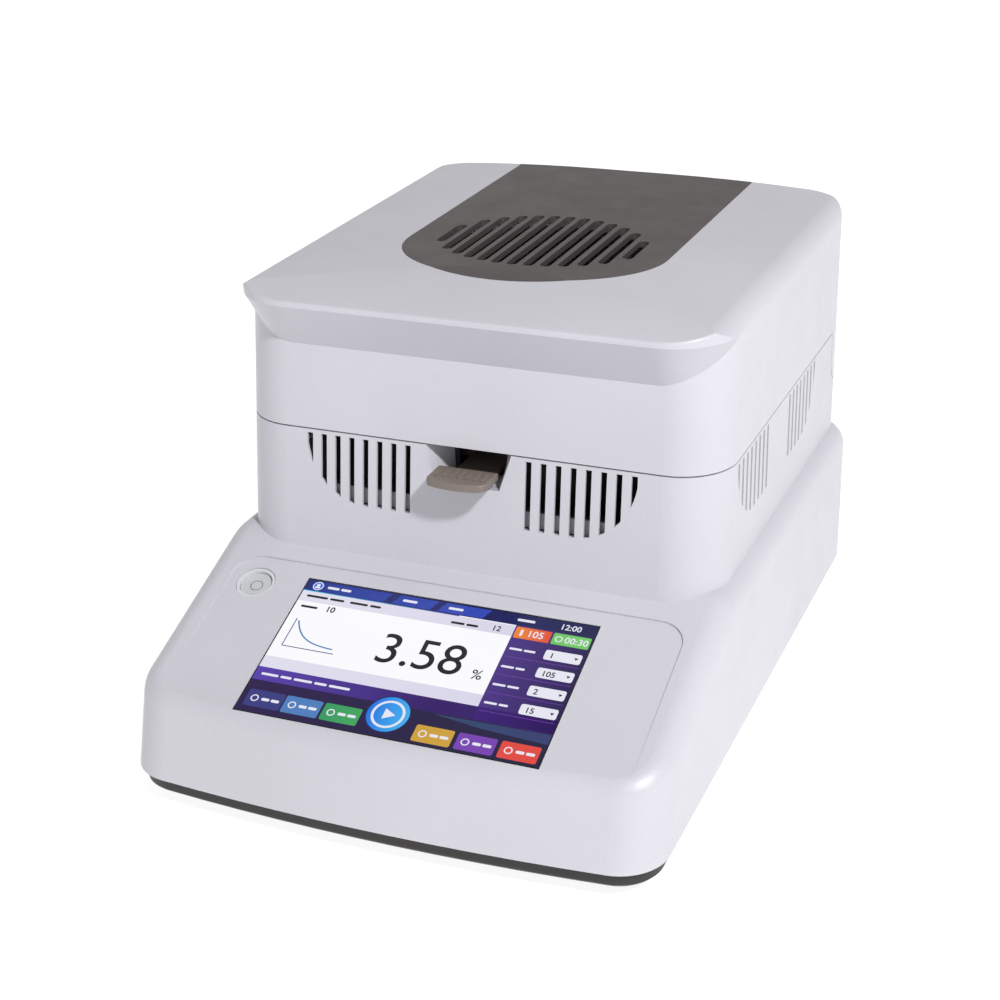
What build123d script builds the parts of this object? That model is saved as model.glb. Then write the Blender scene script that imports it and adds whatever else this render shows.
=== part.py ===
"""Halogen moisture analyzer: base with touch display, heating lid on a rear hinge, and what they hold."""
import math
import os

from build123d import *

# Overall sizes, from the front edge of the base to the rear wall. +Y is the rear, +Z is up
BASE_WIDTH = 210.0
TOWER_WIDTH = 197.8
DEPTH = 297.0
GRILLE_PROUD = 1.0
FRONT_Y = -(DEPTH + GRILLE_PROUD) / 2
REAR_Y = FRONT_Y + DEPTH
WALL = 3.0
FIT = 0.3

# Heights
TRAY_BOTTOM = 6.0
HOUSING_BOTTOM = 13.0
SHOULDER_Z = 76.0
SEAM_Z = 121.3
SEAM_GAP = 0.6
LID_TOP = 180.6
DECK_Z = 92.8

# Housing form
BASE_CORNER = 19.0
REAR_CORNER = 20.0
TOWER_CORNER = 22.0
FRONT_BOW = 5.7
FRONT_LEAN = 0.28
TOWER_LEAN = 0.12
TOWER_SETBACK = 98.35
EDGE_ROUND = 9.0
PANEL_SLOPE = 20.47
PANEL_SETBACK = 45.68
PANEL_CENTRE_Z = 56.0
SHOULDER_BLEND = 25.0

# Display, level and the shallow field round them
SCREEN_WIDTH = 120.1
SCREEN_HEIGHT = 68.8
LENS_THICK = 1.6
MODULE_BORDER = 5.0
MODULE_THICK = 5.5
LEVEL_OFFSET_X = -80.6
LEVEL_OFFSET_UP = 27.8
LEVEL_RADIUS = 7.8
LEVEL_DEPTH = 7.0
FIELD_HALF_WIDTH = 92.5
FIELD_UP = 41.3
FIELD_DOWN = 38.0
FIELD_CORNER = 11.0
FIELD_DEPTH = 0.9
FIELD_CUT = 6.0

# Vents
VENT_COUNT = 8
VENT_PITCH = 5.94
VENT_WIDTH = 2.4
VENT_FIRST = 24.7
SIDE_VENT_FIRST = 17.2
VENT_TOP_DROP = 1.3
VENT_HEIGHT = 26.8
VENT_ROUND = 24.6
VENT_FLAT = 18.5
VENT_WALL = 1.2
VENT_MARGIN = 3.0

# Chamber
CHAMBER_Y = 32.0
CHAMBER_RADIUS = 68.0
CHAMBER_WALL = 1.5
SHIELD_RADIUS = 58.0
PAN_RADIUS = 50.0
PAN_RIM = 2.5
PAN_DEPTH = 6.5
PAN_BOTTOM_Z = 104.5
SHEET = 0.8
HANDLER_RING = 8.0
HANDLER_THICK = 2.0

# Pan handler tab and its pocket
TAB_HALF = 12.2
TAB_TOP_Z = 113.8
TAB_THICK = 2.8
TAB_REACH = 14.2
TAB_REAR_REACH = 1.4
TAB_BOW = 2.4
TAB_CORNER = 3.5
TAB_EDGE = 0.8
TAB_RIBS = 7
RIB_INSET = 3.0
RIB_WIDTH = 1.5
RIB_RISE = 0.4
POCKET_TOP_HALF = 17.8
POCKET_LOW_HALF = 11.6
POCKET_DROP = 14.2
POCKET_DEPTH = 13.0
POCKET_WALL = 2.0
POCKET_REAR_HALF = 10.6
POCKET_FLARE = 4.0
ARM_HALF = 8.0

# Lid
LIP_OVERHANG = 9.0
LIP_UNDER_Z = 154.7
LIP_EDGE_Z = 172.0
LIP_CORNER = 25.0
CROWN_RADIUS = 1150.0
FALL_RADIUS = 205.0
FALL_Y = -4.0
LID_EDGE_ROUND = 3.5
LID_SIDE_ROUND = 9.0
RIM_ROUND = 1.2
LID_WALL = 3.0
GRILLE_HALF_WIDTH = 54.76
GRILLE_ARCH = 46.3
GRILLE_ARCH_Y = 23.9
GRILLE_THICK = 2.4
TOP_SLOTS = 13
TOP_SLOT_PITCH = 6.55
TOP_SLOT_WIDTH = 4.3
TOP_SLOT_HALF_X = 42.0
TOP_SLOT_HALF_Y = 35.0
TOP_SLOT_Y = 30.5

# Hinge
HINGE_RADIUS = 12.0
HINGE_GAP = 0.6
HINGE_Y = REAR_Y - HINGE_RADIUS
HINGE_Z = 109.0
SHAFT_RADIUS = 2.5
SHAFT_PLAY = 0.05
BRACKET_X = 60.0
BRACKET_THICK = 3.0
BRACKET_HALF = 4.2
RIB_THICK = 3.0
HINGE_SLOT_PLAY = 0.6

# Feet
FOOT_X = 82.0
FOOT_FRONT_Y = FRONT_Y + 32.0
FOOT_REAR_Y = REAR_Y - 30.0
PAD_RADIUS = 10.0
PAD_HEIGHT = 2.2
WHEEL_RADIUS = 13.0
WHEEL_GAP = 0.6
STUD_RADIUS = 3.0
STUD_PLAY = 0.05
STUD_LENGTH = 11.0
BOSS_RADIUS = 7.0
BOSS_HEIGHT = 8.0
KNURLS = 20
TRAY_INSET = 2.5
TRAY_WALL = 2.5
TRAY_LIP = 6.0

# Rear wall fittings
FAN_SIZE = 60.0
FAN_X = 48.0
FAN_Z = 52.0
FAN_DEPTH = 15.0
FAN_BORE = 27.5
FAN_HUB = 11.0
FAN_BLADES = 7
FAN_TIP_GAP = 0.8
FAN_HOLE_PITCH = 50.0
INLET_X = -62.0
INLET_Z = 44.0
INLET_WIDTH = 27.0
INLET_HEIGHT = 47.0
INLET_DEPTH = 26.0
SWITCH_X = -28.0
SWITCH_WIDTH = 13.0
SWITCH_HEIGHT = 19.0
SERIAL_X = -4.0
SERIAL_Z = 30.0
USB_Z = 56.0
SERIAL_WIDTH = 20.0
SERIAL_HEIGHT = 10.5
SERIAL_DEPTH = 12.0
PIN_PITCH = 2.77
USB_WIDTH = 12.5
USB_HEIGHT = 11.5
USB_DEPTH = 14.0
PORT_PROUD = 0.5
SOCKET_WIDTH = 24.0
SOCKET_HEIGHT = 16.5
SOCKET_DEPTH = 18.0
SOCKET_DROP = 7.0
DRAWER_HALF = 11.0
DRAWER_LOW = 7.0
DRAWER_TALL = 10.0
DRAWER_DEPTH = 23.0
FUSE_RADIUS = 2.5
FUSE_LENGTH = 19.5
SWITCH_DEPTH = 16.0
BEZEL = 1.5
PIVOT_RADIUS = 1.2
PIVOT_PLAY = 0.05
PIVOT_DEPTH = 4.5
GUARD_RINGS = (29.0, 20.0, 13.0, 6.0)
GUARD_WIRE = 1.4
GUARD_EYE = 4.5
GUARD_EYE_THICK = 0.4

# Screws
SCREW_X = 88.0
SCREW_FRONT_Y = FRONT_Y + 58.0
SCREW_REAR_Y = REAR_Y - 62.0
SCREW_BOSS = 4.5
SCREW_HOLE = 1.6
SCREW_RADIUS = 1.5
SCREW_HEAD = 3.0
SCREW_HEAD_HIGH = 2.0
CELL_SCREW = 2.5

# Inside the tower
REAR_EDGE_Z = 96.0
DECK_LEDGE = 4.0
DECK_FLANGE = 6.4
SUPPORT_HOLE = 9.0
SUPPORT_STEM = 3.5
SUPPORT_REACH = 22.0
SUPPORT_ARM = 3.0
CELL_TOP = 72.0
CELL_HEIGHT = 22.0
CELL_LENGTH = 80.0
CELL_WIDTH = 26.0
CELL_BORE = 6.5
CELL_THIN_PITCH = 28.0
BOARD_THICK = 1.6

# Inside the lid
LID_BOSS = 4.0
LID_SCREW_X = 78.0
SHIELD_Z = SEAM_Z + 3.5
LAMP_GLASS_RADIUS = 60.0
LAMP_GLASS_THICK = 3.0
REFLECTOR_TOP_Z = 156.0
REFLECTOR_HOLE = 14.0
REFLECTOR_BEND = 14.0
LAMP_RADIUS = 42.0
LAMP_TUBE = 4.0
LAMP_Z = 141.0

# Places that follow from the ones above
TOWER_FRONT = FRONT_Y + TOWER_SETBACK
TROUGH_RADIUS = HINGE_RADIUS + HINGE_GAP
TROUGH_FRONT = HINGE_Y - TROUGH_RADIUS
HANDLER_Z = PAN_BOTTOM_Z + PAN_DEPTH - SHEET - FIT - HANDLER_THICK
SHIELD_HEIGHT = HANDLER_Z - FIT - DECK_Z
TRAY_FLOOR = TRAY_BOTTOM + TRAY_WALL
CELL_REAR_Y = CHAMBER_Y - 10.0 + CELL_LENGTH

os.makedirs("parts", exist_ok=True)


def save(name, shape):
    """Writes one piece, or one group of like pieces, as a node."""
    if isinstance(shape, (list, tuple)):
        shape = Compound(children=list(shape))
    export_step(shape, f"parts/{name}.step")


def block(x0, x1, y0, y1, z0, z1):
    """A box between two corners."""
    return Pos((x0 + x1) / 2, (y0 + y1) / 2, (z0 + z1) / 2) * Box(x1 - x0, y1 - y0, z1 - z0)


def disc(radius, x, y, z0, z1):
    """An upright cylinder."""
    return Pos(x, y, (z0 + z1) / 2) * Cylinder(radius, z1 - z0)


def rod_x(radius, x0, x1, y, z):
    """A cylinder along X."""
    return Pos((x0 + x1) / 2, y, z) * Rot(0, 90, 0) * Cylinder(radius, x1 - x0)


def rod_y(radius, y0, y1, x, z):
    """A cylinder along Y."""
    return Pos(x, (y0 + y1) / 2, z) * Rot(90, 0, 0) * Cylinder(radius, y1 - y0)


def side_prism(points, half):
    """A prism across X with its outline given as (y, z) points."""
    return extrude(Plane.YZ * make_face(Polyline(*points, close=True)), half, both=True)


def plan_face(half, front, rear, sag, front_round, rear_round, z):
    """A rounded plan outline at a height, with a bowed front edge where sag is given."""
    corners = [(-half, front + sag), (half, front + sag), (half, rear), (-half, rear)]
    if sag > 0:
        front_edge = ThreePointArc(corners[0], (0, front), corners[1])
    else:
        front_edge = Line(corners[0], corners[1])
    face = make_face([front_edge] + [Line(corners[i], corners[(i + 1) % 4]) for i in (1, 2, 3)])
    face = fillet(face.vertices().sort_by(Axis.Y)[:2], front_round)
    face = fillet(face.vertices().sort_by(Axis.Y)[-2:], rear_round)
    return Pos(0, 0, z) * face


def leaning_block(half, front, rear, sag, rounds, lean, z0, z1):
    """An upright block whose front wall leans back, from a plan outline at its foot."""
    height = z1 - z0
    middle = (front + rear) / 2
    nose = extrude(
        plan_face(half, front, middle, sag, rounds[0], 0.5, z0),
        height * math.hypot(1, lean),
        dir=(0, lean, 1),
    )
    body_front = front + lean * height + rounds[0] + sag
    body = extrude(plan_face(half, body_front, rear, 0, 0.5, rounds[1], z0), height)
    return nose + body


def panel_z(y):
    """Height of the sloped panel at a distance along Y."""
    return PANEL_CENTRE_Z + math.tan(math.radians(PANEL_SLOPE)) * (y - FRONT_Y - PANEL_SETBACK)


def panel_y(z):
    """Place along Y where the sloped panel has a height."""
    return FRONT_Y + PANEL_SETBACK + (z - PANEL_CENTRE_Z) / math.tan(math.radians(PANEL_SLOPE))


PANEL = Plane(
    origin=(0, FRONT_Y + PANEL_SETBACK, PANEL_CENTRE_Z),
    x_dir=(1, 0, 0),
    z_dir=(0, -math.sin(math.radians(PANEL_SLOPE)), math.cos(math.radians(PANEL_SLOPE))),
)


def tower_front(z):
    """Front wall of the tower at a height."""
    return TOWER_FRONT + TOWER_LEAN * (z - SEAM_Z)


def base_form(inset, floor, edge):
    """The low base: sloped front panel, flat shoulder, rounded upper edges."""
    half = BASE_WIDTH / 2 - inset
    front = FRONT_Y + inset + FRONT_LEAN * (floor - HOUSING_BOTTOM)
    top = SHOULDER_Z - inset
    form = leaning_block(
        half, front, REAR_Y - inset, FRONT_BOW,
        (BASE_CORNER - inset, REAR_CORNER - inset), FRONT_LEAN, floor, SHOULDER_Z + 5,
    )
    drop = inset / math.cos(math.radians(PANEL_SLOPE))
    break_y = panel_y(top + drop)
    far = 2 * DEPTH
    above = [
        (FRONT_Y - 20, panel_z(FRONT_Y - 20) - drop),
        (break_y, top),
        (REAR_Y + 20, top),
        (REAR_Y + 20, far),
        (FRONT_Y - 20, far),
    ]
    form -= side_prism(above, BASE_WIDTH)
    across = form.edges().filter_by(Axis.X)
    ridge = across.filter_by(lambda e: abs(e.center().Y - break_y) < 0.5 and e.center().Z > top - 1)
    form = fillet(ridge, SHOULDER_BLEND)
    rim = [e for e in form.edges() if is_rim(e, half, inset)]
    return fillet(rim, edge)


def is_rim(edge, half, inset):
    """True for an upper edge of the base, except along the rear wall."""
    c = edge.center()
    limit = min(panel_z(c.Y), SHOULDER_Z) - inset - 6
    along = edge.tangent_at(0.5)
    upright = edge.geom_type == GeomType.LINE and abs(along.X) < 1e-6 and abs(along.Z) > 0.9
    return c.Z > limit and not upright and c.Y < REAR_Y - inset - 0.6 and on_outline(edge, half)


def on_outline(edge, half):
    """True if an edge lies on the outside walls rather than across the top."""
    a, b = edge.position_at(0), edge.position_at(1)
    across = abs(abs(a.X) - half) < 0.01 and abs(abs(b.X) - half) < 0.01 and a.X * b.X < 0
    return not across


def tower_form(inset, z0, z1):
    """The upright tower that carries the chamber and, higher up, the lid's walls."""
    return leaning_block(
        TOWER_WIDTH / 2 - inset, tower_front(z0) + inset, REAR_Y - inset, 0,
        (TOWER_CORNER - inset, REAR_CORNER - inset), TOWER_LEAN, z0, z1,
    )


def hinge_profile(radius, top, front):
    """Side outline of the lid's tail: a barrel round the hinge axis with a straight part above it."""
    barrel = rod_x(radius, -BASE_WIDTH, BASE_WIDTH, HINGE_Y, HINGE_Z)
    return barrel + block(-BASE_WIDTH, BASE_WIDTH, front, REAR_Y + 20, HINGE_Z, top)


def field_location():
    """The shallow field round the display: its floor dips towards the top and fades out at the bottom."""
    dip = math.degrees(math.atan(FIELD_DEPTH / (FIELD_UP + FIELD_DOWN)))
    return PANEL.location * Pos(0, -FIELD_DOWN, 0) * Rot(-dip, 0, 0) * Pos(0, FIELD_DOWN, 0)


FIELD = field_location()


def vent_group(middle, side, first):
    """Outline of one group of slots: even bars cut off by a quarter ellipse at the lower outer corner."""
    top = SEAM_Z - VENT_TOP_DROP
    near = first - VENT_WIDTH
    far = first + VENT_FLAT
    room = Pos(middle + side * (near + far) / 2, top) * Rectangle(far - near, 2 * VENT_HEIGHT)
    room += Pos(middle + side * far, top) * Ellipse(VENT_ROUND, VENT_HEIGHT)
    bar = Pos(0, top - VENT_HEIGHT / 2) * Rectangle(VENT_WIDTH, VENT_HEIGHT)
    bars = [Pos(middle + side * (first + k * VENT_PITCH), 0) * bar for k in range(VENT_COUNT)]
    return Sketch() + bars & room


def vents():
    """Slots under the seam in the tower's front and side walls."""
    cuts = []
    for side in (-1, 1):
        group = extrude(Plane.XZ * vent_group(0, side, VENT_FIRST), 3 * WALL, both=True)
        cuts.append(Pos(0, TOWER_FRONT, 0) * group)
        for way in (-1, 1):
            group = extrude(Plane.YZ * vent_group(CHAMBER_Y, way, SIDE_VENT_FIRST), 2 * WALL, both=True)
            cuts.append(Pos(side * TOWER_WIDTH / 2, 0, 0) * group)
    return cuts


def thin_places():
    """Shallow recesses inside the tower that leave a thin wall round the slots."""
    reach = (VENT_COUNT - 1) * VENT_PITCH + VENT_MARGIN
    top = SEAM_Z - VENT_TOP_DROP
    room = tower_form(VENT_WALL, DECK_Z, top)
    places = []
    for side in (-1, 1):
        a, b = sorted((side * (VENT_FIRST - VENT_MARGIN), side * (VENT_FIRST + reach)))
        places.append(block(a, b, TOWER_FRONT - 3 * WALL, TOWER_FRONT + 3 * WALL, DECK_Z, top) & room)
        a, b = sorted((side * (TOWER_WIDTH / 2 - WALL - 1), side * (TOWER_WIDTH / 2 + 1)))
        for way in (-1, 1):
            near = CHAMBER_Y + way * (SIDE_VENT_FIRST - VENT_MARGIN)
            far = CHAMBER_Y + way * (SIDE_VENT_FIRST + reach)
            places.append(block(a, b, min(near, far), max(near, far), DECK_Z, top) & room)
    return places


def pocket_section(y, top_half, low_half, top, low):
    """Upright outline of the pocket at a distance along Y."""
    points = [(-top_half, top), (top_half, top), (low_half, low), (-low_half, low)]
    return Plane((0, y, 0), x_dir=(1, 0, 0), z_dir=(0, -1, 0)) * make_face(Polyline(*points, close=True))


def pocket():
    """Funnel in the tower's front edge that the tab reaches through."""
    front = tower_front(SEAM_Z)
    rear = front + POCKET_DEPTH
    top = SEAM_Z + 1
    low = SEAM_Z - POCKET_DROP
    flare = POCKET_FLARE
    mouth = loft([
        pocket_section(front - 3 * WALL, POCKET_TOP_HALF + flare, POCKET_LOW_HALF + flare, top, low),
        pocket_section(front + WALL, POCKET_TOP_HALF - 1, POCKET_LOW_HALF, top, low),
    ])
    throat = loft([
        pocket_section(front + WALL - 0.01, POCKET_TOP_HALF - 1, POCKET_LOW_HALF, top, low),
        pocket_section(rear + 1, POCKET_REAR_HALF, POCKET_REAR_HALF, top, low),
    ])
    return mouth + throat


def pocket_walls():
    """White walls round the funnel, from the tower's front wall to near the chamber."""
    front = tower_front(SEAM_Z)
    thick = POCKET_WALL
    low = SEAM_Z - POCKET_DROP - thick
    rear_half = POCKET_REAR_HALF + thick
    return loft([
        pocket_section(front + WALL - 1, POCKET_TOP_HALF + thick, POCKET_LOW_HALF + thick, SEAM_Z, low),
        pocket_section(front + POCKET_DEPTH, rear_half, rear_half, SEAM_Z, low),
    ])


def rear_cut(width, height, x, z):
    """A rectangular cut through the rear wall."""
    return block(x - width / 2, x + width / 2, REAR_Y - 2 * WALL, REAR_Y + 5, z - height / 2, z + height / 2)


def screw_places():
    """The four places where screws join the tray to the housing."""
    return [(sx * SCREW_X, y) for sx in (-1, 1) for y in (SCREW_FRONT_Y, SCREW_REAR_Y)]


def housing_boss(x, y):
    """Screw boss that hangs from the housing's roof, with a web to the side wall."""
    low = HOUSING_BOTTOM + TRAY_LIP + 1
    side = math.copysign(BASE_WIDTH / 2 - 1, x)
    boss = disc(SCREW_BOSS, x, y, low, SHOULDER_Z)
    boss += block(min(x, side), max(x, side), y - WALL / 2, y + WALL / 2, low, SHOULDER_Z)
    return boss & base_form(1, low, EDGE_ROUND - 1)


def main_housing():
    """White one-piece moulding of base and tower, open below, with all its openings."""
    outer = base_form(0, HOUSING_BOTTOM, EDGE_ROUND) + tower_form(0, SHOULDER_Z - 20, SEAM_Z)
    hollow = base_form(WALL, HOUSING_BOTTOM - 5, EDGE_ROUND - WALL)
    hollow += tower_form(WALL, SHOULDER_Z - 20, SEAM_Z + 5)
    hollow -= hinge_profile(TROUGH_RADIUS + WALL, SEAM_Z + 10, TROUGH_FRONT - WALL)
    shell = outer - hollow
    shell -= hinge_profile(TROUGH_RADIUS, SEAM_Z + 10, TROUGH_FRONT)
    shell -= block(-BASE_WIDTH, BASE_WIDTH, HINGE_Y, REAR_Y + 5, REAR_EDGE_Z, SEAM_Z + 10)
    ledge = tower_form(WALL - 0.5, DECK_Z - SHEET - DECK_LEDGE, DECK_Z - SHEET)
    ledge -= tower_form(WALL + DECK_LEDGE, DECK_Z - 2 * DECK_LEDGE, DECK_Z + 1)
    ledge -= hinge_profile(TROUGH_RADIUS + WALL - 0.5, SEAM_Z + 10, TROUGH_FRONT - WALL + 0.5)
    shell += ledge
    shell -= thin_places()
    shell -= vents()
    shell += pocket_walls()
    shell -= pocket()
    outline = RectangleRounded(2 * FIELD_HALF_WIDTH, FIELD_UP + FIELD_DOWN, FIELD_CORNER)
    shell -= FIELD * Pos(0, (FIELD_UP - FIELD_DOWN) / 2, 0) * extrude(outline, FIELD_CUT)
    shell -= FIELD * Box(SCREEN_WIDTH + FIT, SCREEN_HEIGHT + FIT, 4 * WALL)
    shell -= FIELD * Pos(LEVEL_OFFSET_X, LEVEL_OFFSET_UP, 0) * Cylinder(LEVEL_RADIUS + FIT / 2, 4 * WALL)
    for x, y in screw_places():
        shell += housing_boss(x, y)
        shell -= disc(SCREW_HOLE, x, y, HOUSING_BOTTOM, HOUSING_BOTTOM + 20)
    shell -= rear_cut(INLET_WIDTH + FIT, INLET_HEIGHT + FIT, INLET_X, INLET_Z)
    shell -= rear_cut(SWITCH_WIDTH + FIT, SWITCH_HEIGHT + FIT, SWITCH_X, INLET_Z)
    shell -= rear_cut(SERIAL_WIDTH + FIT, SERIAL_HEIGHT + FIT, SERIAL_X, SERIAL_Z)
    shell -= rear_cut(USB_WIDTH + FIT, USB_HEIGHT + FIT, SERIAL_X, USB_Z)
    shell -= rod_y(FAN_BORE - 1, REAR_Y - 2 * WALL, REAR_Y + 5, FAN_X, FAN_Z)
    for x, z in fan_screw_places():
        shell -= rod_y(SCREW_HOLE, REAR_Y - 2 * WALL, REAR_Y + 5, x, z)
    return shell


def fan_screw_places():
    """The four corners where the fan and its guard are screwed to the rear wall."""
    half = FAN_HOLE_PITCH / 2
    return [(FAN_X + sx * half, FAN_Z + sz * half) for sx in (-1, 1) for sz in (-1, 1)]


def foot_places():
    """Names and places of the four levelling feet."""
    return {
        "front_left": (-FOOT_X, FOOT_FRONT_Y),
        "front_right": (FOOT_X, FOOT_FRONT_Y),
        "rear_left": (-FOOT_X, FOOT_REAR_Y),
        "rear_right": (FOOT_X, FOOT_REAR_Y),
    }


def tray_outline(inset, z, lean=0.0):
    """Plan outline of the bottom tray. Its lip stands further back in front, where the housing leans."""
    return plan_face(
        BASE_WIDTH / 2 - inset, FRONT_Y + inset + lean, REAR_Y - inset, FRONT_BOW,
        BASE_CORNER - inset, REAR_CORNER - inset, z,
    )


def bottom_tray():
    """Dark tub that closes the housing from below and carries the feet."""
    tub = extrude(tray_outline(TRAY_INSET, TRAY_BOTTOM), HOUSING_BOTTOM - TRAY_BOTTOM)
    tub = chamfer(tub.faces().sort_by(Axis.Z)[0].edges(), 1.5)
    lean = FRONT_LEAN * TRAY_LIP
    rise = HOUSING_BOTTOM + TRAY_LIP - TRAY_FLOOR
    tub += extrude(tray_outline(WALL + FIT, TRAY_FLOOR, lean), rise)
    tub -= extrude(tray_outline(WALL + FIT + TRAY_WALL, TRAY_FLOOR, lean), 2 * rise)
    for x, y in foot_places().values():
        tub += disc(BOSS_RADIUS, x, y, TRAY_BOTTOM + 1, TRAY_BOTTOM + BOSS_HEIGHT)
        tub -= disc(STUD_RADIUS + STUD_PLAY, x, y, TRAY_BOTTOM - 1, TRAY_BOTTOM + BOSS_HEIGHT + 1)
    for x, y in screw_places():
        tub += disc(SCREW_BOSS, x, y, TRAY_BOTTOM + 1, HOUSING_BOTTOM + TRAY_LIP + 1)
        tub -= disc(SCREW_HOLE, x, y, 0, HOUSING_BOTTOM + 20)
        tub -= disc(SCREW_HEAD + FIT, x, y, 0, TRAY_BOTTOM + SCREW_HEAD_HIGH + FIT)
    return tub


def tray_screws():
    """Screws that hold the tray to the housing."""
    made = []
    for x, y in screw_places():
        shank = disc(SCREW_RADIUS, x, y, TRAY_BOTTOM + SCREW_HEAD_HIGH, HOUSING_BOTTOM + 18)
        made.append(shank + disc(SCREW_HEAD, x, y, TRAY_BOTTOM + FIT, TRAY_BOTTOM + SCREW_HEAD_HIGH + FIT))
    return made


def foot_wheel(x, y):
    """Knurled thumbwheel with its threaded stud."""
    top = TRAY_BOTTOM - WHEEL_GAP
    wheel = disc(WHEEL_RADIUS, x, y, PAD_HEIGHT, top)
    for k in range(KNURLS):
        a = 2 * math.pi * k / KNURLS
        wheel -= disc(1.1, x + WHEEL_RADIUS * math.cos(a), y + WHEEL_RADIUS * math.sin(a), 0, TRAY_BOTTOM)
    return wheel + disc(STUD_RADIUS, x, y, top, top + STUD_LENGTH)


def foot_pad(x, y):
    """Rubber pad under the thumbwheel."""
    return chamfer(disc(PAD_RADIUS, x, y, 0, PAD_HEIGHT).edges().sort_by(Axis.Z)[0], 0.6)


def display():
    """Cover lens, nearly flush with the field, and the display module behind it."""
    lens_top = 0.1
    step = WALL + FIT - lens_top - LENS_THICK
    lens = Pos(0, 0, -lens_top - LENS_THICK / 2) * Box(SCREEN_WIDTH, SCREEN_HEIGHT, LENS_THICK)
    module = Pos(0, MODULE_BORDER, -WALL - FIT - MODULE_THICK / 2) * Box(
        SCREEN_WIDTH + 2 * MODULE_BORDER, SCREEN_HEIGHT, MODULE_THICK
    )
    module += Pos(0, 0, -WALL - FIT + step / 2) * Box(SCREEN_WIDTH - 1, SCREEN_HEIGHT - 1, step)
    return FIELD * lens, FIELD * module


def level():
    """Cup of the round level with its flange under the panel, and the glass vial in it."""
    place = FIELD * Pos(LEVEL_OFFSET_X, LEVEL_OFFSET_UP, 0)
    top = -0.6
    floor = top - LEVEL_DEPTH + 1
    bore = LEVEL_RADIUS - 1.2
    cup = Pos(0, 0, top - LEVEL_DEPTH / 2) * Cylinder(LEVEL_RADIUS, LEVEL_DEPTH)
    cup += Pos(0, 0, -WALL - FIT - 0.75) * Cylinder(LEVEL_RADIUS + 2.5, 1.5)
    cup -= Pos(0, 0, floor + LEVEL_DEPTH / 2) * Cylinder(bore, LEVEL_DEPTH)
    vial = Pos(0, 0, floor + LEVEL_DEPTH / 2 - 1.2) * Cylinder(bore - FIT / 2, LEVEL_DEPTH - 2.4)
    return place * cup, place * vial


def chamber_deck():
    """Sheet metal floor of the tower, with an upturned flange behind each group of front slots."""
    deck = tower_form(WALL + FIT, DECK_Z - SHEET, DECK_Z)
    flange = tower_form(WALL + FIT, DECK_Z - SHEET, DECK_Z + DECK_FLANGE)
    flange -= tower_form(WALL + FIT + SHEET, DECK_Z - 2 * SHEET, DECK_Z + 2 * DECK_FLANGE)
    reach = (VENT_COUNT - 1) * VENT_PITCH + VENT_MARGIN
    for side in (-1, 1):
        a, b = sorted((side * (VENT_FIRST - VENT_WIDTH), side * (VENT_FIRST + reach)))
        place = block(a, b, TOWER_FRONT, TOWER_FRONT + 3 * WALL, DECK_Z - SHEET, DECK_Z + DECK_FLANGE)
        deck += flange & place
    deck -= hinge_profile(TROUGH_RADIUS + WALL + FIT, SEAM_Z + 10, TROUGH_FRONT - WALL - FIT)
    return deck - disc(SUPPORT_HOLE, 0, CHAMBER_Y, 0, 200)


def ring(outer, inner, y, z0, z1):
    """An upright ring on the chamber's axis line."""
    return disc(outer, 0, y, z0, z1) - disc(inner, 0, y, z0 - 1, z1 + 1)


def chamber_wall():
    """Dark wall round the chamber, open in front for the handler's arm."""
    wall = ring(CHAMBER_RADIUS, CHAMBER_RADIUS - CHAMBER_WALL, CHAMBER_Y, DECK_Z, SEAM_Z - 2)
    return wall - block(-ARM_HALF - 2, ARM_HALF + 2, -80, CHAMBER_Y, HANDLER_Z - 3, 200)


def draft_shield():
    """Low steel ring that keeps draughts off the pan."""
    return ring(SHIELD_RADIUS, SHIELD_RADIUS - 1.2, CHAMBER_Y, DECK_Z, DECK_Z + SHIELD_HEIGHT)


def pan_support():
    """Stem from the weighing cell with a flat cross under the pan."""
    top = PAN_BOTTOM_Z - FIT
    low = top - 1.5
    reach, half = SUPPORT_REACH, SUPPORT_ARM
    stem = disc(SUPPORT_STEM, 0, CHAMBER_Y, CELL_TOP, top)
    stem += block(-reach, reach, CHAMBER_Y - half, CHAMBER_Y + half, low, top)
    return stem + block(-half, half, CHAMBER_Y - reach, CHAMBER_Y + reach, low, top)


def sample_pan():
    """Shallow pressed pan with a flat rim."""
    z0 = PAN_BOTTOM_Z
    z1 = z0 + PAN_DEPTH
    points = [
        (0, z0), (PAN_RADIUS - 3, z0), (PAN_RADIUS - 1, z1 - SHEET), (PAN_RADIUS + PAN_RIM, z1 - SHEET),
        (PAN_RADIUS + PAN_RIM, z1), (PAN_RADIUS - 1 - SHEET, z1), (PAN_RADIUS - 3 - SHEET, z0 + SHEET),
        (0, z0 + SHEET),
    ]
    return Pos(0, CHAMBER_Y, 0) * revolve(Plane.XZ * make_face(Polyline(*points, close=True)), Axis.Z)


def tab_outline(front, rear):
    """Plan outline of the finger tab with its bowed front edge."""
    corners = [(-TAB_HALF, front + TAB_BOW), (TAB_HALF, front + TAB_BOW), (TAB_HALF, rear), (-TAB_HALF, rear)]
    outline = make_face(
        [ThreePointArc(corners[0], (0, front), corners[1])]
        + [Line(corners[i], corners[(i + 1) % 4]) for i in (1, 2, 3)]
    )
    return fillet(outline.vertices().sort_by(Axis.Y)[:2], TAB_CORNER)


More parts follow.
